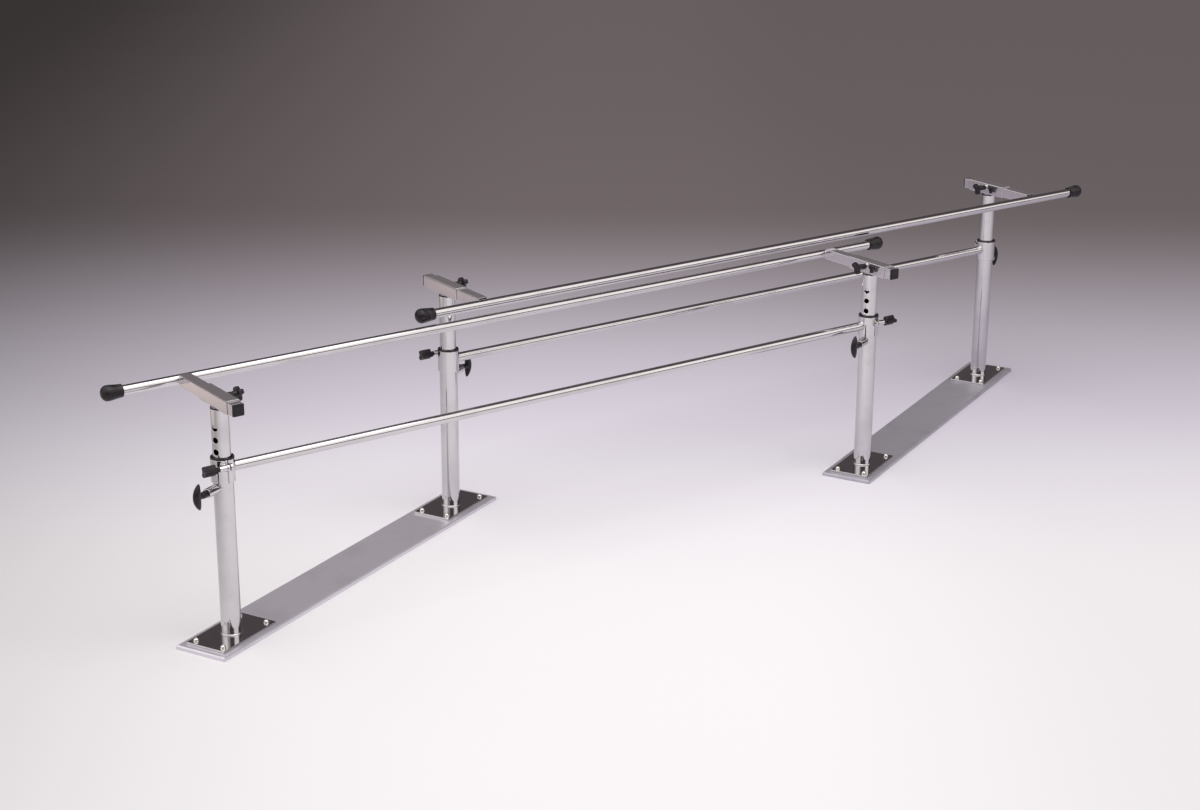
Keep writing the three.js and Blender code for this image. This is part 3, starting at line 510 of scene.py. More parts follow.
def screw_place(side, end):
    """The matrix of a collar's clamp screw: from the slot's middle, turned so that +X points along the
    rail to the knob."""
    sizes = bpy.context.scene.bar_sizes
    x, y, _ = post_place(side, end).translation
    place = shift(x, y + SIDES[side] * sizes.lug_offset, sizes.post_top - sizes.knob_drop)
    return place @ about("Z", 0 if ENDS[end] > 0 else math.pi)


# Shader parts

def add(tree, kind, inputs=None, **settings):
    """A new node with its settings, whose inputs are linked to sockets or set to values."""
    node = tree.nodes.new(kind)
    for key, value in settings.items():
        setattr(node, key, value)
    for key, value in (inputs or {}).items():
        if isinstance(value, bpy.types.NodeSocket):
            tree.links.new(value, node.inputs[key])
        else:
            node.inputs[key].default_value = value
    return node


def effect(name, output, build, **inputs):
    """A shared node group with one value, built once: build(tree, entry sockets) gives its socket. An
    input is a value if its default is one number, and a vector otherwise."""
    tree = bpy.data.node_groups.get(name)
    if tree is None:
        tree = bpy.data.node_groups.new(name, "ShaderNodeTree")
        for label, default in inputs.items():
            kind = "NodeSocketFloat" if isinstance(default, float) else "NodeSocketVector"
            socket = tree.interface.new_socket(label, in_out="INPUT", socket_type=kind)
            socket.default_value = default
        tree.interface.new_socket(output, in_out="OUTPUT", socket_type="NodeSocketFloat")
        entry = tree.nodes.new("NodeGroupInput")
        leave = tree.nodes.new("NodeGroupOutput")
        tree.links.new(build(tree, entry.outputs), leave.inputs[output])
    return tree


def use(tree, group, **inputs):
    """The value of a shared group with its inputs linked or set."""
    return add(tree, "ShaderNodeGroup", inputs, node_tree=group).outputs[0]


def ramped(tree, value, low, high, to_low=0.0, to_high=1.0):
    """A value mapped smoothly from one range to another."""
    return add(tree, "ShaderNodeMapRange", {"Value": value, "From Min": low, "From Max": high,
                                            "To Min": to_low, "To Max": to_high},
               interpolation_type="SMOOTHSTEP").outputs["Result"]


def maths(tree, operation, *values, clamp=False):
    """The result of an operation on sockets or numbers."""
    return add(tree, "ShaderNodeMath", dict(enumerate(values)), operation=operation,
               use_clamp=clamp).outputs["Value"]


def noise(tree, place, scale, detail, roughness=0.5):
    """The value of a noise."""
    return add(tree, "ShaderNodeTexNoise", {"Vector": place, "Scale": scale, "Detail": detail,
                                            "Roughness": roughness}).outputs["Fac"]


def distance_along(tree, place, direction):
    """How far a place lies along a direction: their dot product."""
    return add(tree, "ShaderNodeVectorMath", {0: place, 1: direction},
               operation="DOT_PRODUCT").outputs["Value"]


def mix_colour(tree, mask, low, high):
    """A colour between two, each a socket or three numbers, by a mask."""
    low, high = (tint if isinstance(tint, bpy.types.NodeSocket) else (*tint, 1.0) for tint in (low, high))
    return add(tree, "ShaderNodeMix", {0: mask, 6: low, 7: high}, data_type="RGBA").outputs[2]


def bumped(tree, height, strength, distance):
    """A normal from a height."""
    return add(tree, "ShaderNodeBump", {"Height": height, "Strength": strength,
                                        "Distance": distance}).outputs["Normal"]


def drawn_lines():
    """Fine lines that run along a drawn or brushed metal: noise stretched along one direction."""
    def build(tree, entry):
        mapped = add(tree, "ShaderNodeMapping", {"Vector": entry["Vector"], "Scale": entry["Stretch"],
                                                 "Rotation": entry["Turn"]}).outputs["Vector"]
        both = maths(tree, "MULTIPLY", noise(tree, mapped, 1.0, 3.0, 0.6), noise(tree, mapped, 0.17, 1.0))
        return ramped(tree, both, 0.12, 0.40)
    return effect("Drawn lines", "Lines", build, Vector=(0, 0, 0), Stretch=(1, 1, 1), Turn=(0, 0, 0))


def smudges():
    """Soft patches where hands have dulled a bright surface, and smaller specks among them."""
    def build(tree, entry):
        patch = ramped(tree, noise(tree, entry["Vector"], entry["Scale"], 4.0, 0.55), 0.48, 0.72)
        speck = ramped(tree, noise(tree, entry["Vector"], 900.0, 2.0), 0.62, 0.75, 0.0, 0.35)
        return maths(tree, "ADD", patch, speck, clamp=True)
    return effect("Smudges", "Mask", build, Vector=(0, 0, 0), Scale=12.0)


def grain():
    """Moulded grain: fine rounded bumps over a softer noise."""
    def build(tree, entry):
        fine = add(tree, "ShaderNodeTexVoronoi", {"Vector": entry["Vector"], "Scale": entry["Scale"]},
                   feature="SMOOTH_F1").outputs["Distance"]
        return maths(tree, "ADD", fine, noise(tree, entry["Vector"], 60.0, 3.0))
    return effect("Moulded grain", "Height", build, Vector=(0, 0, 0), Scale=1400.0)


def material(name, build):
    """A named material, built once: build(tree, object coordinates) gives the shader's inputs."""
    made = bpy.data.materials.get(name)
    if made is None:
        made = bpy.data.materials.new(name)
        made.use_nodes = True
        tree = made.node_tree
        tree.nodes.clear()
        place = tree.nodes.new("ShaderNodeTexCoord").outputs["Object"]
        shader = add(tree, "ShaderNodeBsdfPrincipled", build(tree, place))
        add(tree, "ShaderNodeOutputMaterial", {"Surface": shader.outputs["BSDF"]})
    return made


def handled(tree, place, scale, tints, roughness, bump, height=None):
    """The inputs of a finish that hands have dulled: its colour and roughness go from the first value to
    the second by smudges of a scale, and its normal follows a height, or else the smudges."""
    mask = use(tree, smudges(), Vector=place, Scale=scale)
    return {"Base Color": mix_colour(tree, mask, *tints),
            "Roughness": ramped(tree, mask, 0.0, 1.0, *roughness),
            "Normal": bumped(tree, mask if height is None else height, *bump)}


def chrome(run):
    """Bright plated tube, drawn along X, Y or Z: near-mirror, with faint drawing lines, a slow
    waviness and handling smudges."""
    colours = bpy.context.scene.bar_colours
    stretch, roughness, metal, wavy = {"X": ((6, 500, 500), (0.10, 0.18), 1.0, 0.03),
                                       "Y": ((500, 6, 500), (0.10, 0.20), 0.84, 0.10),
                                       "Z": ((500, 500, 6), (0.045, 0.12), 1.0, 0.10)}[run]
    tints = (colours.chrome_square if run == "Y" else colours.chrome, colours.chrome_worn)

    def build(tree, place):
        lines = use(tree, drawn_lines(), Vector=place, Stretch=stretch)
        height = maths(tree, "MULTIPLY_ADD", lines, 0.12, noise(tree, place, 22.0, 1.0))
        return {"Metallic": metal, **handled(tree, place, 9.0, tints, roughness, (wavy, 0.0006), height)}
    return material(f"Chrome along {run}", build)


def welded_chrome():
    """Plated weld: chrome over a rippled bead."""
    colours = bpy.context.scene.bar_colours

    def build(tree, place):
        return {**METAL, **handled(tree, place, 60.0, (colours.chrome, colours.chrome_worn),
                                   (0.10, 0.22), (0.35, 0.0006), noise(tree, place, 320.0, 2.0))}
    return material("Plated weld", build)


def satin():
    """Satin nickel plate: brushed along the base plate, smudged, and greyed slowly from one plate to the
    other, which is painted shade where the light falls off towards the right plate."""
    colours = bpy.context.scene.bar_colours
    fold = bpy.context.scene.bar_sizes.fold

    def build(tree, place):
        lines = use(tree, drawn_lines(), Vector=place, Stretch=(9, 700, 700), Turn=(0, 0, -fold))
        mask = use(tree, smudges(), Vector=place, Scale=5.0)
        drawn = maths(tree, "MULTIPLY_ADD", lines, 0.25, mask, clamp=True)
        x = add(tree, "ShaderNodeSeparateXYZ", {"Vector": place}).outputs["X"]
        # Painted shade: greyer towards the right plate, where the light falls off.
        painted_shade = ramped(tree, x, -1.2, 1.2, 0.0, 0.75)
        both = maths(tree, "MULTIPLY_ADD", drawn, 0.25, painted_shade, clamp=True)
        return {"Base Color": mix_colour(tree, both, colours.satin, colours.satin_streaks_and_shade),
                "Metallic": 0.60, "Roughness": ramped(tree, both, 0.0, 1.0, 0.28, 0.42),
                "Normal": bumped(tree, lines, 0.18, 0.0002)}
    return material("Satin plate", build)


def coated(name, clean, dulled, scale, roughness, bump, inputs, grained=None):
    """A finish of two named colours that hands have dulled, over a moulded grain of a scale, or plain."""
    colours = bpy.context.scene.bar_colours

    def build(tree, place):
        height = use(tree, grain(), Vector=place, Scale=grained) if grained else None
        tints = (getattr(colours, clean), getattr(colours, dulled))
        return {**inputs, **handled(tree, place, scale, tints, roughness, bump, height)}
    return material(name, build)


def zinc():
    """Bright zinc on the bolts, dulled in small patches."""
    return coated("Bright zinc", "zinc", "chrome_worn", 150.0, (0.12, 0.28), (0.15, 0.0002), METAL)


def steel():
    """Bare steel of studs and springs, with a film of oil in patches."""
    return coated("Bare steel", "steel", "hollow", 90.0, (0.22, 0.40), (0.2, 0.0002), METAL)


def plastic():
    """Black moulded plastic with a fine grain, paler and smoother where it is held."""
    return coated("Black plastic", "plastic", "plastic_worn", 70.0, (0.30, 0.20), (0.12, 0.0002), MOULDED,
                  grained=1500.0)


def rubber():
    """Black rubber with a faint dusty bloom and mould texture."""
    return coated("Black rubber", "rubber", "rubber_dusty", 45.0, (0.26, 0.42), (0.15, 0.0003), MOULDED,
                  grained=900.0)


def hollow():
    """The dark inside of a tube: scaled steel, its near-black partly its own dark and partly painted
    shade, so that the height holes read dark.
    """
    colours = bpy.context.scene.bar_colours

    def build(tree, place):
        scale = noise(tree, place, 200.0, 3.0)
        # Painted shade in part: the near-black colour darkens the tube's inside beyond its unplated steel.
        return {"Base Color": mix_colour(tree, scale, colours.hollow, colours.plastic),
                "Metallic": 0.0, "Roughness": 0.75, "Normal": bumped(tree, scale, 0.3, 0.0003)}
    return material("Shaded inside of a tube", build)


# Pieces

def plate_shell(half_x, half_y, rows, corner):
    """A plate from rows (inset, z) of a rounded rectangle. The first and last rows close on its middle
    line, where y = 0 and x stays within half_x - half_y."""
    loops = []
    for inset, z in rows:
        x, y = rectangle(half_x - inset, half_y - inset, max(corner - inset, 0.2 * corner),
                         flats=(-0.995, 0.995)).T
        loops.append(xyz(x, y, z))
    low, high = loops[0].copy(), loops[-1].copy()
    for loop in (low, high):
        loop[:, 0] = np.clip(loop[:, 0], half_y - half_x, half_x - half_y)
        loop[:, 1] = 0
    return grid(np.stack([low, *loops, high]))


def bolt_shell(radius, low, height, steps=48):
    """A button-head bolt turned about Z, with a hexagon recess: the recess rows (share, depth) follow a
    hexagon, whose radius is its flat over the cosine of the angle to the nearest flat."""
    turn = even_turn(steps)
    hexagon = 0.30 * radius / np.cos((turn + math.pi / 6) % (math.pi / 3) - math.pi / 6)
    skirt = 0.30 * height
    rows = [(0.0, low), (radius, low), (radius, low + skirt * 0.9)]
    rows += [(radius * math.cos(a), low + skirt + (height - skirt) * math.sin(a))
             for a in np.linspace(0, 1.12, 10)]
    top = rows[-1][1]
    recess = ((1.12, 0.0), (1.0, 0.03), (0.97, 0.45), (0.0, 0.5))
    loops = [polar(r, turn, z) for r, z in rows]
    loops += [polar(share * hexagon, turn, top - depth * height) for share, depth in recess]
    return grid(np.stack(loops))


class BARS_OT_base_plates(bpy.types.Operator):
    """Make the two base plates: flat bars with bevelled top edges."""

    bl_idname = "bars.base_plates"
    bl_label = "Base plates"

    def execute(self, context):
        s = context.scene.bar_sizes
        top, bevel = s.plate_thickness, s.plate_bevel
        flat, edge, corner = 0.02, 0.001, 0.0025
        rows = outline([(flat, 0, 0), (0, 0, 0.4 * edge), (0, top - bevel / 2, edge), (bevel, top, edge),
                        (flat, top, 0)], closed=False)
        plate = plate_shell(s.post_span / 2 + s.plate_overhang, s.plate_width / 2, rows, corner)
        for end, way in ENDS.items():
            place = shift(way * s.rail_span / 2) @ about("Z", s.fold)
            finished(f"base_plate_{end}", [plate], place, [satin()], f"{end}_base", crease=30)
        return {"FINISHED"}


class BARS_OT_outer_posts(bpy.types.Operator):
    """Make the outer posts with their flange plates, bolts, weld beads and plunger bosses."""

    bl_idname = "bars.outer_posts"
    bl_label = "Outer posts"

    def execute(self, context):
        s = context.scene.bar_sizes
        low = s.plate_thickness + s.gap
        top = low + s.flange_thickness
        inside = s.post_radius - s.post_wall
        wall = turned(section(inside, s.post_radius, top, s.post_top, 0, 0, 0.0006, 0.0005), 96)
        flat, edge, corner = 0.01, 0.0014, 0.002
        rows = outline([(flat, low, 0), (0, low, edge), (0, top, edge), (flat, top, 0)], closed=False)
        flange = plate_shell(s.flange_length / 2, s.flange_width / 2, rows, corner)
        bore, deep, reach = 0.006, 0.004, s.boss_reach
        boss = turned([(s.stud_radius, s.post_radius, 0), (s.boss_radius, s.post_radius - deep, 0),
                       (s.boss_radius, reach, 0.0015), (bore, reach, 0.0005), (bore, reach - deep, 0)], 56)
        boss = moved(boss, shift(z=s.lock_height) @ TO_X)
        foot = ring_bead(s.post_radius + 0.3 * s.bead, top + 0.25 * s.bead, 0.8 * s.bead, ripples=40,
                         steps=192)
        joint = saddle(s.post_radius, s.boss_radius, s.lock_height, BEADS["boss"])
        hole, rim, thickness = 0.004, 1.18 * s.bolt_radius, 0.0012
        washer = turned(section(hole, rim, top, top + thickness, 0, 0.0003, 0.0004, 0), 48)
        bolts = [moved(shell, shift(x * s.bolt_along, y * s.bolt_across))
                 for shell in (bolt_shell(s.bolt_radius, top, s.bolt_height), washer)
                 for x in (-1, 1) for y in (-1, 1)]
        for side, end, label in STATIONS:
            place, node, body = post_place(side, end), f"outer_post_{label}", f"{end}_base"
            finished(node, [wall, boss], place, [chrome("Z")], body)
            finished(f"post_welds_{label}", [foot, joint], place, [welded_chrome()], body, node)
            finished(f"flange_plate_{label}", [flange], place, [chrome("X")], body, node,
                     crease=30)
            finished(f"flange_bolts_{label}", bolts, place, [zinc()], body, node)
        return {"FINISHED"}


class BARS_OT_guide_bushes(bpy.types.Operator):
    """Make the black bushes in the outer posts' mouths."""

    bl_idname = "bars.guide_bushes"
    bl_label = "Guide bushes"

    def execute(self, context):
        s = context.scene.bar_sizes
        rim, foot = s.post_top + s.gap, s.post_top - s.bush_skirt
        high = rim + s.bush_height
        skirt, bore = s.post_radius - s.post_wall - s.gap, s.inner_radius + s.gap
        bush = turned([(bore, foot, 0), (skirt, foot, 0.0004), (skirt, rim, 0), (s.bush_radius, rim, 0.0008),
                       (s.bush_radius, high, 0.0020), (bore, high, 0.0012)], 96)
        for side, end, label in STATIONS:
            finished(f"guide_bush_{label}", [bush], post_place(side, end), [plastic()], f"{end}_base")
        return {"FINISHED"}


class BARS_OT_plungers(bpy.types.Operator):
    """Make the plungers with their crescent grips."""

    bl_idname = "bars.plungers"
    bl_label = "Plungers"

    def execute(self, context):
        s = context.scene.bar_sizes
        nose, low, high = s.inner_radius + s.gap, s.boss_reach + s.gap, s.neck_reach
        wide, thin = 0.006, 0.0045
        foot, throat, end = 0.0090, 0.0085, 0.0095
        stem = turned([(0, nose, 0), (wide, nose, 0.0012), (wide, s.post_radius + 0.002, 0),
                       (thin, s.post_radius + 0.004, 0), (thin, high, 0), (0, high, 0)], 32, closed=False)
        neck = turned([(0, low, 0), (foot, low, 0.0006), (s.neck_radius, low + 0.005, 0.003),
                       (s.neck_radius, low + 0.018, 0.005), (throat, low + 0.025, 0.003),
                       (end, high, 0.001), (0, high + 0.004, 0)], 48, closed=False)
        shells = [moved(neck, TO_X), self.grip(s), moved(stem, TO_X) + (1,)]
        for side, end, label in STATIONS:
            place = post_place(side, end) @ shift(z=s.lock_height)
            finished(f"plunger_{label}", shells, place, [plastic(), steel()], f"{label}_plunger")
            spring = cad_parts[f"plunger_spring_{label}"]
            spring.data.materials.clear()
            spring.data.materials.append(steel())
        return {"FINISHED"}

    @staticmethod
    def grip(s, rows=41, steps=40):
        """A crescent grip: at height share u its outer face lies back by the sweep times u squared, its
        depth and width fall from the middle to the tips with u squared, and both close at the tips with
        1 - |u|^6 to the power 1 / 2.4. Each section is a superellipse of power 2.6."""
        def curve(wave):
            """A wave's power, with its sign kept."""
            return np.sign(wave) * np.abs(wave) ** (2 / 2.6)

        up = np.sin(np.linspace(-math.pi / 2, math.pi / 2, rows))
        close = (1 - np.abs(up) ** 6) ** (1 / 2.4)
        depth = (s.grip_tip + (s.grip_depth - s.grip_tip) * (1 - up ** 2)) / 2
        width = s.grip_width / 2 * (0.45 + 0.55 * (1 - up ** 2))
        middle = s.grip_reach - s.grip_sweep * up ** 2 - depth
        turn = even_turn(steps)
        x = middle[:, None] + np.outer(depth * close, curve(np.cos(turn)))
        y = np.outer(width * close, curve(np.sin(turn)))
        return grid(xyz(x, y, s.grip_height / 2 * up[:, None]))


class BARS_OT_inner_posts(bpy.types.Operator):
    """Make the inner posts with their column of height holes."""

    bl_idname = "bars.inner_posts"
    bl_label = "Inner posts"

    def execute(self, context):
        s = context.scene.bar_sizes
        shells = self.tube(s)
        for side, end, label in STATIONS:
            place = post_place(side, end) @ shift(z=inner_top(side))
            finished(f"inner_post_{label}", shells, place, [chrome("Z"), hollow()],
                     f"{label}_inner_post")
        return {"FINISHED"}

    @staticmethod
    def tube(s):
        """A tube with holes on +X. Round each hole, rings go from a circle, whose angle on the tube is
        arcsin(y / radius), to a square patch of one pitch. The rest of the tube is a plain grid whose
        rows and columns meet the patches."""
        outer, inner, half = s.inner_radius, s.inner_radius - s.inner_wall, s.hole_pitch / 2
        wide = half / outer
        ray = even_turn(32)
        square = 1 / np.maximum(np.abs(np.cos(ray)), np.abs(np.sin(ray)))
        edge_angle, edge_z = wide * square * np.cos(ray), half * square * np.sin(ray)

        def ring(radius, hole, share):
            """Points between a hole's circle and the edge of its patch, by the share."""
            angle = np.arcsin(hole * np.cos(ray) / radius) * (1 - share) + edge_angle * share
            return polar(radius, angle, hole * np.sin(ray) * (1 - share) + edge_z * share)

        def wall(radius, angles, heights):
            """Rows of points on a round wall."""
            return polar(radius, angles, np.atleast_1d(heights)[:, None])

        chamfer, rim = 0.0005, 0.0006
        plated = [ring(outer, s.hole_radius + chamfer, share) for share in (1, 0.6, 0.3, 0.1, 0)]
        plated.append(ring(outer - chamfer, s.hole_radius, 0))
        bare = [plated[-1]] + [ring(inner, s.hole_radius, share) for share in (0, 0.3, 1)]
        shells = []
        lifts = [-s.hole_drop - i * s.hole_pitch for i in range(s.hole_count)]
        for lift in lifts:
            shells.append(grid(np.stack(plated) + [0, 0, lift]) + (0,))
            shells.append(grid(np.stack(bare) + [0, 0, lift]) + (1,))
        rays = np.tan(np.arange(-4, 5) * math.pi / 16)
        rest = np.linspace(wide, ROUND - wide, 29)
        circle = np.concatenate([wide * rays, rest[1:-1]])
        levels = np.concatenate([lift - half * rays[:-1] for lift in lifts])
        levels = np.append(levels, lifts[-1] - half)
        shells.append(grid(wall(outer, rest, levels), around=False) + (0,))
        shells.append(grid(wall(inner, rest, levels), around=False) + (1,))
        for near, end, step in ((levels[0], 0.0, -rim), (levels[-1], -s.inner_length, rim)):
            lip = [wall(outer, circle, near), wall(outer, circle, end + step),
                   wall(outer - rim, circle, end), wall(inner + rim, circle, end),
                   wall(inner, circle, end + step)]
            shells.append(grid(np.concatenate(lip)) + (0,))
            shells.append(grid(np.concatenate([lip[-1], wall(inner, circle, near)])) + (1,))
        return shells


class BARS_OT_lower_rails(bpy.types.Operator):
    """Make the lower rails, their collars and the welds between them."""

    bl_idname = "bars.lower_rails"
    bl_label = "Lower rails and collars"

    def execute(self, context):
        s = context.scene.bar_sizes
        z, face = s.post_top - s.lower_drop, s.lug_slot / 2 + s.lug_thickness
        ring, lug = self.split_ring(s), self.lug(s)
        boss = moved(boss_shell(s, s.lug_boss, face - BITE, s.lug_reach, 0.0012), TO_X)
        seam = moved(ring_bead(s.lug_boss, face, BEADS["lug"]), TO_X)
        joint = saddle(s.collar_radius, s.rail_radius, z, BEADS["rail"])
        for side, sign in SIDES.items():
            left, right = (post_place(side, end).translation for end in ENDS)
            rail = self.rail(s, (right - left).length)
            welds = [joint, moved(joint, shift((right - left).length) @ about("Z", math.pi))]
            node, body = f"lower_rail_{side}", f"{side}_lower_rail"
            finished(node, [rail], shift(left.x, left.y, z), [chrome("X")], body)
            finished(f"lower_rail_welds_{side}", welds, shift(*left), [welded_chrome()], body,
                     node)
            for end in ENDS:
                node, screw = f"collar_{side}_{end}", screw_place(side, end)
                clamp = [reflected(lug, (way, sign * ENDS[end], 1)) for way in (-1, 1)] + [boss]
                finished(node, [ring], collar_place(side, end), [chrome("Z")], body)
                finished(f"collar_lugs_{side}_{end}", clamp, screw, [chrome("X")], body, node)
                finished(f"collar_weld_{side}_{end}", [seam], screw, [welded_chrome()], body, node)
        return {"FINISHED"}

    @staticmethod
    def split_ring(s):
        """A ring whose section (radius, z) goes round the post from one side of the slot on +X to the
        other, where asin(half slot / radius) gives the angle, and closes on the section's middle."""
        inner, outer = 0.0005, 0.0012
        radius, z = outline(section(s.post_radius + s.gap, s.collar_radius, s.post_top - s.collar_height,
                                    s.post_top, inner, outer, outer, inner)).T
        start = np.arcsin(s.lug_slot / 2 / radius)
        rows = polar(radius, start + np.linspace(0, 1, 97)[:, None] * (ROUND - 2 * start), z)
        first, last = (np.tile(row.mean(axis=0), (1, len(row), 1)) for row in (rows[0], rows[-1]))
        return grid(np.concatenate([first, rows, last]))

    @staticmethod
    def lug(s):
        """One lug: an upright plate on +X of the slot, from the ring to a half round about the screw on
        +Y. The outline is a half circle and straight edges, drawn in at both faces."""
        turn = np.linspace(-math.pi / 2, math.pi / 2, 17)
        sunk, back = 0.003, 0.00005
        root = s.lug_offset - s.collar_radius + sunk
        y = np.concatenate([s.lug_round * np.cos(turn), [-root, -root]])
        z = np.concatenate([s.lug_round * np.sin(turn), [s.lug_round, -s.lug_round]])
        near, far = s.lug_slot / 2 + back, s.lug_slot / 2 + s.lug_thickness
        rows = ((near, 0), (near, 0.95), (near + 0.0006, 1), (far - 0.0008, 1), (far, 0.93), (far, 0))
        return grid(np.stack([xyz(x, share * (y + root / 2) - root / 2, share * z) for x, share in rows]))

    @staticmethod
    def rail(s, span):
        """A tube along X whose ends follow the collars: at lateral place y an end stands at
        root(collar^2 - y^2) from the post's axis."""
        turn, sunk = even_turn(64), 0.0002
        outer, inner = s.rail_radius, s.rail_radius - s.rail_wall
        loops = []
        for radius, far in ((outer, 0), (outer, 0.01), (outer, 0.99), (outer, 1), (inner, 1), (inner, 0)):
            y = radius * np.cos(turn)
            cope = np.sqrt((s.collar_radius - sunk) ** 2 - y ** 2)
            loops.append(xyz(cope + far * (span - 2 * cope), y, radius * np.sin(turn)))
        return grid(np.stack(loops), along=True)


class BARS_OT_clamp_knobs(bpy.types.Operator):
    """Make the clamp knobs on the collars and on the sleeves."""

    bl_idname = "bars.clamp_knobs"
    bl_label = "Clamp knobs"

    def execute(self, context):
        s = context.scene.bar_sizes
        start = s.arm_side / 2 + s.gap
        reach = s.sleeve_side / 2 + s.width_boss_length + s.gap
        collar = clamp_knob(s, -s.lug_slot / 2 - s.lug_thickness, s.lug_reach + s.gap, s.grip_barrel_radius,
                            s.grip_barrel_length, (s.grip_knob_radius, s.grip_knob_waist,
                                                   s.grip_knob_arm, s.grip_knob_thickness))
        width = clamp_knob(s, start, reach, s.barrel_radius, s.barrel_length,
                           (s.knob_radius, s.knob_waist, s.knob_arm, s.knob_thickness))
        for side, end, label in STATIONS:
            for kind, shells, place in (
                    ("collar", collar, screw_place(side, end) @ about("X", -ENDS[end] * math.pi / 2)),
                    ("width", width, sleeve_place(side, end) @ shift(z=s.width_raise))):
                finished(f"{kind}_knob_{label}", shells, place, [plastic(), steel()],
                         f"{label}_{kind}_knob")
        return {"FINISHED"}


class BARS_OT_steady_knobs(bpy.types.Operator):
    """Make the small steady knobs beside the width knobs."""

    bl_idname = "bars.steady_knobs"
    bl_label = "Steady knobs"

    def execute(self, context):
        s = context.scene.bar_sizes
        start = s.sleeve_side / 2 + s.steady_standoff
        arm = s.knob_arm * s.steady_radius / s.knob_radius
        shells = [knob_head(s.steady_radius, s.steady_waist, arm, start, s.steady_thickness, 0.0025),
                  stud_shell(s, s.arm_side / 2 + s.gap, start + 0.003)]
        for side, end, label in STATIONS:
            place = sleeve_place(side, end) @ shift(y=ENDS[end] * s.steady_shift, z=s.width_raise) @ TO_X
            finished(f"steady_knob_{label}", shells, place, [plastic(), steel()],
                     f"{label}_steady_knob")
        return {"FINISHED"}


class BARS_OT_sleeves(bpy.types.Operator):
    """Make the square sleeves with their spindles and clamp bosses, and the washers under them."""

    bl_idname = "bars.sleeves"
    bl_label = "Sleeves and washers"

    def execute(self, context):
        s = context.scene.bar_sizes
        half, long = s.sleeve_side / 2, s.sleeve_length / 2
        bore, edge = s.arm_side / 2 + s.slide_gap, 0.0007
        band = outline(section(bore, half, -long, long, edge, edge, edge, edge))
        square = grid(square_bar(band, s.sleeve_corner), along=True)
        aside = shift(z=s.width_raise) @ TO_X
        boss = moved(boss_shell(s, s.width_boss, half - BITE, half + s.width_boss_length, 0.001), aside)
        weld = moved(ring_bead(s.width_boss, half + 0.0004, BEADS["sleeve"]), aside)
        radius, high = s.inner_radius - s.inner_wall - s.gap, -half + BITE
        low = -half - s.spindle_shoulder - s.spindle_length
        stem = revolved([(0, low), (radius, low), (radius, high), (0, high)], 64, closed=False)
        low, high = -half - s.spindle_shoulder + s.gap, -half - s.gap
        washer = turned(section(radius, s.inner_radius, low, high, 0, 0.001, 0.001, 0), 96)
        for side, end, label in STATIONS:
            place, node, body = sleeve_place(side, end), f"arm_sleeve_{label}", f"{label}_sleeve"
            finished(node, [square, boss, stem], place, [chrome("Y")], body)
            finished(f"sleeve_weld_{label}", [weld], place, [welded_chrome()], body, node)
            finished(f"washer_{label}", [washer], place, [plastic()], body, node)
        return {"FINISHED"}


class BARS_OT_arms(bpy.types.Operator):
    """Make the square arms, their welds to the handrails and their end plugs."""

    bl_idname = "bars.arms"
    bl_label = "Arms and plugs"

    def execute(self, context):
        s = context.scene.bar_sizes
        arm, welds, plug = self.arm(s), self.welds(s), self.plug(s)
        for side, end, label in STATIONS:
            place, node, body = arm_place(side, end, side == "rear"), f"arm_tube_{label}", f"{side}_handrail"
            finished(node, [arm], place, [chrome("Y")], body, crease=30)
            finished(f"arm_welds_{label}", welds, place, [welded_chrome()], body, node)
            finished(f"arm_plug_{label}", [plug], place, [plastic()], body)
        return {"FINISHED"}

    @staticmethod
    def arm(s):
        """A square tube along Y. Its inner end is flat, but for a hollow where each point at height z
        lies on the handrail's round, y = inset - root(rail^2 - z^2)."""
        half, tip = s.arm_side / 2, s.inset - s.rail_radius + s.arm_cope
        inner, edge = half - s.arm_wall, 0.0005
        hollow = math.sqrt(s.rail_radius ** 2 - (s.rail_radius - s.arm_cope) ** 2)
        flats = np.concatenate([[-0.99], hollow / (half - s.arm_corner) * np.linspace(-1, 1, 15), [0.99]])
        profile = outline([(inner, -s.arm_tail, edge), (half, -s.arm_tail, edge), (half, tip, 0),
                           (inner, tip, 0)])
        points = square_bar(profile, s.arm_corner, flats)
        at_tip = points[..., 1] > tip - WELD
        round_y = s.inset - np.sqrt(np.maximum(s.rail_radius ** 2 - points[..., 2] ** 2, 0))
        points[..., 1] = np.where(at_tip, np.minimum(points[..., 1], round_y), points[..., 1])
        return grid(points, along=True)

    @staticmethod
    def welds(s):
        """Beads at the arm's end: one up each side along y = inset - rail cos t, z = rail sin t, and one
        across the arm above and below, where the handrail's round leaves the arm's flat end."""
        turn, lift = np.linspace(-0.85, 0.85, 33), 0.70
        half, rail = s.arm_side / 2, s.rail_radius
        across, upward = (0.0, 1.0, 0.0), (0.0, 0.0, 1.0)
        away = xyz(0.0, -np.cos(turn), np.sin(turn))
        line = np.linspace(-1, 1, 49) * (half - 0.0005)
        shells = []
        for way in (-1, 1):
            path = xyz(way * (half - 0.0006), s.inset - rail * np.cos(turn), rail * np.sin(turn))
            shells.append(bead(path, ((1.0 * way, 0.0, 0.0), away), BEADS["arm side"], ripple=0.12,
                               ripples=12, closed=False))
            path = xyz(line, s.inset - rail * math.cos(lift) - 0.0008, way * rail * math.sin(lift))
            shells.append(bead(path, (across, upward), BEADS["arm top"], steps=16, ripple=0.08,
                               ripples=16, closed=False))
        return shells

    @staticmethod
    def plug(s):
        """A square plug: a slightly crowned head and a shank inside the arm."""
        half, face = s.arm_side / 2, -s.arm_tail - s.gap
        shank, out, deep = half - s.arm_wall - s.gap, face - s.plug_head, face + s.plug_shank
        profile = outline([(0.001, out - 0.0004, 0), (0.6 * half, out - 0.0003, 0.002), (half, out, 0.0018),
                           (half, face, 0.0005), (shank, face, 0), (shank, deep, 0.001),
                           (0.001, deep, 0)], closed=False)
        profile = np.vstack([[0, profile[0][1]], profile, [0, profile[-1][1]]])
        return grid(square_bar(profile, s.arm_corner))


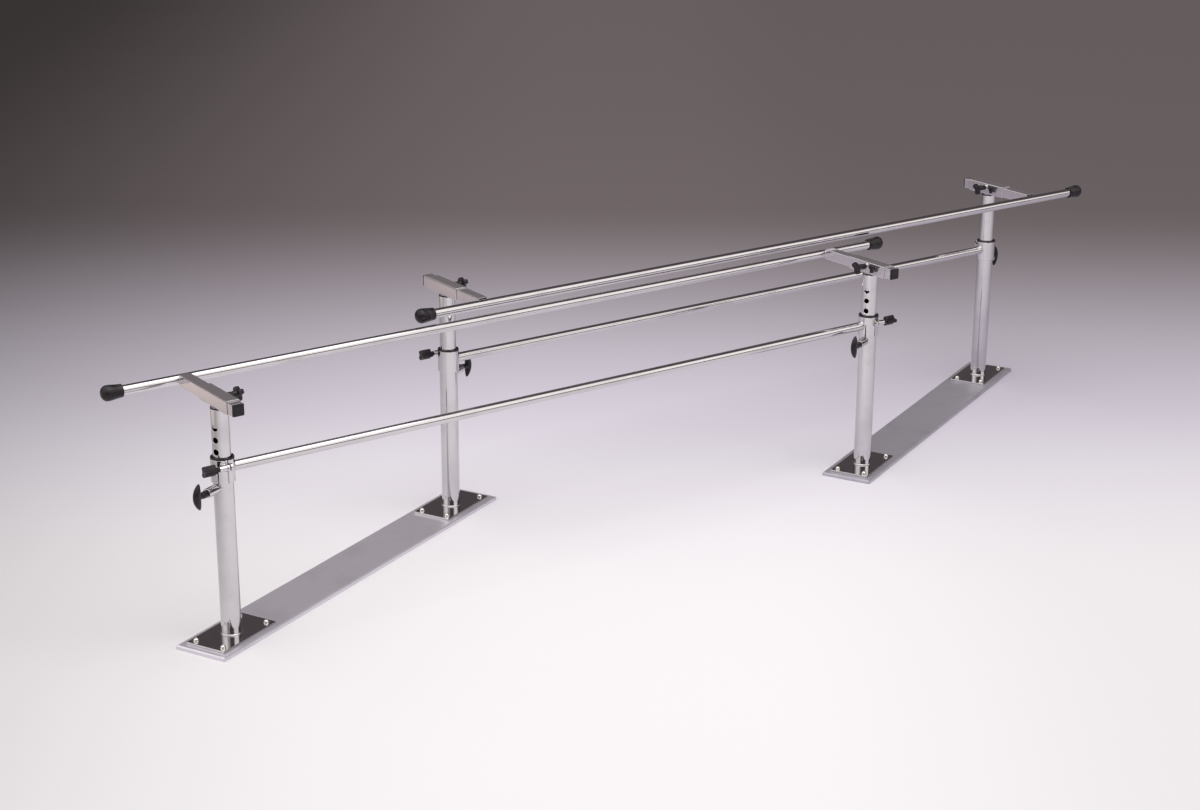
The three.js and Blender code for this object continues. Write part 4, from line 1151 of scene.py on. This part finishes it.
class BARS_OT_handrails(bpy.types.Operator):
    """Make the two handrails."""

    bl_idname = "bars.handrails"
    bl_label = "Handrails"

    def execute(self, context):
        s = context.scene.bar_sizes
        half = s.rail_span / 2 + s.overhang
        inside = s.rail_radius - s.rail_wall
        tube = turned(section(inside, s.rail_radius, -half, half, 0, 0.0004, 0.0004, 0), 72)
        for side in SIDES:
            finished(f"handrail_{side}", [tube], rail_place(side) @ TO_X, [chrome("X")],
                     f"{side}_handrail")
        return {"FINISHED"}


class BARS_OT_rail_caps(bpy.types.Operator):
    """Make the rubber caps on the handrails' ends."""

    bl_idname = "bars.rail_caps"
    bl_label = "Rail caps"

    def execute(self, context):
        s = context.scene.bar_sizes
        cap = self.cap(s)
        mouth = s.rail_span / 2 + s.overhang - (s.cap_length - s.cap_end)
        for side, end, label in STATIONS:
            place = rail_place(side) @ shift(ENDS[end] * mouth) @ about("Y", ENDS[end] * math.pi / 2)
            finished(f"rail_cap_{label}", [cap], place, [rubber()], f"{side}_handrail")
        return {"FINISHED"}

    @staticmethod
    def cap(s):
        """A cap on Z: from the lip its radius grows by a smooth step to the bulb's, and a quarter
        ellipse closes the end."""
        share = np.linspace(0, 1, 22)
        lip, shoulder = 0.0022, 0.70 * s.cap_length
        radius = s.cap_mouth + (s.cap_bulb - s.cap_mouth) * share ** 2 * (3 - 2 * share)
        side = np.column_stack([radius, lip + (shoulder - lip) * share])
        turn = np.linspace(0, math.pi / 2, 17)[1:]
        dome = np.column_stack([s.cap_bulb * np.cos(turn),
                                shoulder + (s.cap_length - shoulder) * np.sin(turn)])
        dome[-1, 0] = 0
        bore, deep = s.rail_radius + 0.0001, s.cap_length - s.cap_end
        mouth = outline([(0, deep, 0), (bore, deep, 0), (bore, 0, 0.0006), (s.cap_mouth, 0, 0.0016),
                         (s.cap_mouth, lip, 0)], closed=False)
        return revolved(np.vstack([mouth, side[1:], dome]), 72, closed=False)


# Studio

class BARS_OT_studio(bpy.types.Operator):
    """Set the floor, the soft lights, the surroundings and the camera."""

    bl_idname = "bars.studio"
    bl_label = "Studio"

    def execute(self, context):
        self.floor(context)
        self.surroundings(context)
        self.lights(context)
        self.camera(context)
        context.scene.view_settings.view_transform = "Standard"
        return {"FINISHED"}

    @staticmethod
    def floor(context):
        """A disc of rings, coloured by how deep in the picture and how far across it a place lies: pale
        near the camera and dark far off, falling off to the left, and warm on the near left. The darkening
        with depth and to the sides is painted shade, standing in for the falloff of the studio light."""
        colours = context.scene.bar_colours
        steps, rings = 96, 40
        radius = np.concatenate([[0], np.linspace(1, 40, rings)])
        points, quads = revolved(np.column_stack([radius, np.full(rings + 1, -0.0004)]), steps, closed=False)
        mesh = bpy.data.meshes.new("floor")
        mesh.from_pydata(points, [], quads[steps:].tolist() + quads[:steps, 1:].tolist())
        mesh.validate()
        mesh.shade_smooth()
        made = bpy.data.objects.new("floor", mesh)
        context.scene.collection.objects.link(made)

        def build(tree, place):
            depth, across = (distance_along(tree, place, way) for way in (AHEAD, ACROSS))
            # Painted shade: the floor darkens with depth, and by the falloff scale towards the left and a
            # little to the right.
            near = mix_colour(tree, ramped(tree, depth, -1.0, 1.32), colours.floor_near,
                              colours.floor_middle_shaded)
            far = mix_colour(tree, ramped(tree, depth, -0.12, 4.41), near, colours.floor_far_shade)
            aside = maths(tree, "MULTIPLY", ramped(tree, across, -3.6, -3.0, 1.0, 0.0),
                          ramped(tree, depth, 0.6, 1.4, 1.0, 0.0))
            painted_falloff = maths(tree, "MULTIPLY", ramped(tree, across, -5.18, -0.42, 0.24, 1.0),
                         ramped(tree, across, 0.23, 1.46, 1.0, 0.92))
            shade = add(tree, "ShaderNodeVectorMath", {0: far, "Scale": painted_falloff}, operation="SCALE")
            return {"Base Color": mix_colour(tree, aside, shade.outputs["Vector"], colours.floor_aside),
                    "Roughness": 0.9, "Specular IOR Level": 0.1}
        mesh.materials.append(material("Studio floor with painted shade", build))

    @staticmethod
    def surroundings(context):
        """A dim ring at the horizon under a bright ceiling. The direction's height decides between dark
        and bright, and the dark reaches higher in three lobes: behind the bars, behind the camera and,
        nearly up to the top, to the right of the bars. Each lobe has its direction, the cosines where it
        begins and is full, and the heights where its dark ends and its bright begins."""
        world = bpy.data.worlds.new("Studio")
        context.scene.world = world
        world.use_nodes = True
        tree = world.node_tree
        tree.nodes.clear()
        way = tree.nodes.new("ShaderNodeTexCoord").outputs["Generated"]
        height = add(tree, "ShaderNodeSeparateXYZ", {"Vector": way}).outputs["Z"]
        level = ramped(tree, height, 0.12, 0.26)
        for direction, begins, full, dark, bright in (
                (AHEAD, -0.20, 0.35, 0.30, 0.52),
                ((-AHEAD[0], -AHEAD[1], 0.0), 0.62, 0.80, 0.46, 0.60),
                ((0.8, 0.6, 0.0), 0.24, 0.40, 0.90, 0.99)):
            lobe = ramped(tree, distance_along(tree, way, direction), begins, full)
            level = add(tree, "ShaderNodeMix", {0: lobe, 2: level, 3: ramped(tree, height, dark, bright)},
                        data_type="FLOAT").outputs[0]
        tint = mix_colour(tree, level, (0.07, 0.058, 0.062), (1.0, 0.965, 0.925))
        light = add(tree, "ShaderNodeBackground", {"Color": tint, "Strength": 1.32})
        add(tree, "ShaderNodeOutputWorld", {"Surface": light.outputs["Background"]})

    @staticmethod
    def lights(context):
        """Soft boxes: a wide key over the bars, and a fill from the camera's left. A box's power is its
        brightness times pi times its area."""
        for name, place, aim, size, brightness in (
                ("Key", (-0.6, -1.4, 6.0), (-0.6, -0.6, 0), 5.0, 1.9),
                ("Fill", (-6.5, -3.0, 3.8), (0, 0, 0.5), 3.0, 0.4)):
            data = bpy.data.lights.new(name, "AREA")
            data.shape, data.size, data.energy = "SQUARE", size, brightness * math.pi * size ** 2
            lamp = bpy.data.objects.new(name, data)
            context.scene.collection.objects.link(lamp)
            lamp.location = place
            lamp.rotation_euler = (Vector(aim) - lamp.location).to_track_quat("-Z", "Y").to_euler()

    @staticmethod
    def camera(context):
        """The camera where the picture was taken from. It looks 18.9 degrees down and is turned 35.8
        degrees from straight across the rails. The focal length is in dots of a picture 1200 wide."""
        place, pitch, roll, turn = (-4.6276, -6.0273, 2.9114), 0.3291, 0.0041, 0.6248
        sensor, focal, width = 36.0, 2215.77, 1200
        ahead = np.array([math.sin(turn), math.cos(turn), 0])
        right = np.array([math.cos(turn), -math.sin(turn), 0])
        view = ahead * math.cos(pitch) - np.array([0, 0, math.sin(pitch)])
        down = -ahead * math.sin(pitch) - np.array([0, 0, math.cos(pitch)])
        across = right * math.cos(roll) - down * math.sin(roll)
        under = right * math.sin(roll) + down * math.cos(roll)
        data = bpy.data.cameras.new("Camera")
        data.sensor_fit, data.sensor_width, data.lens = "HORIZONTAL", sensor, focal * sensor / width
        data.clip_end = 200
        made = bpy.data.objects.new("Camera", data)
        context.scene.collection.objects.link(made)
        made.matrix_world = shift(*place) @ Matrix((across, -under, -view)).transposed().to_4x4()
        context.scene.camera = made


STEPS = (BARS_OT_base_plates, BARS_OT_outer_posts, BARS_OT_guide_bushes, BARS_OT_plungers,
         BARS_OT_inner_posts, BARS_OT_lower_rails, BARS_OT_clamp_knobs, BARS_OT_steady_knobs,
         BARS_OT_sleeves, BARS_OT_arms, BARS_OT_handrails, BARS_OT_rail_caps, BARS_OT_studio)


class BARS_PT_sidebar(bpy.types.Panel):
    """The pieces of the bars, in the order in which they are made."""

    bl_label = "Walking parallel bars"
    bl_idname = "BARS_PT_sidebar"
    bl_space_type = "VIEW_3D"
    bl_region_type = "UI"
    bl_category = "Bars"

    def draw(self, context):
        for step in STEPS:
            self.layout.operator(step.bl_idname)
        for group in (context.scene.bar_sizes, context.scene.bar_colours):
            box = self.layout.box()
            for name in group.__annotations__:
                box.prop(group, name)


CLASSES = (BarSizes, BarColours, *STEPS, BARS_PT_sidebar)


def register():
    for made in CLASSES:
        bpy.utils.register_class(made)
    bpy.types.Scene.bar_sizes = PointerProperty(type=BarSizes)
    bpy.types.Scene.bar_colours = PointerProperty(type=BarColours)


def unregister():
    del bpy.types.Scene.bar_colours
    del bpy.types.Scene.bar_sizes
    for made in reversed(CLASSES):
        bpy.utils.unregister_class(made)


def main():
    """Makes every piece in order."""
    register()
    for step in STEPS:
        getattr(bpy.ops.bars, step.bl_idname.split(".")[1])()


if __name__ == "__main__":
    main()
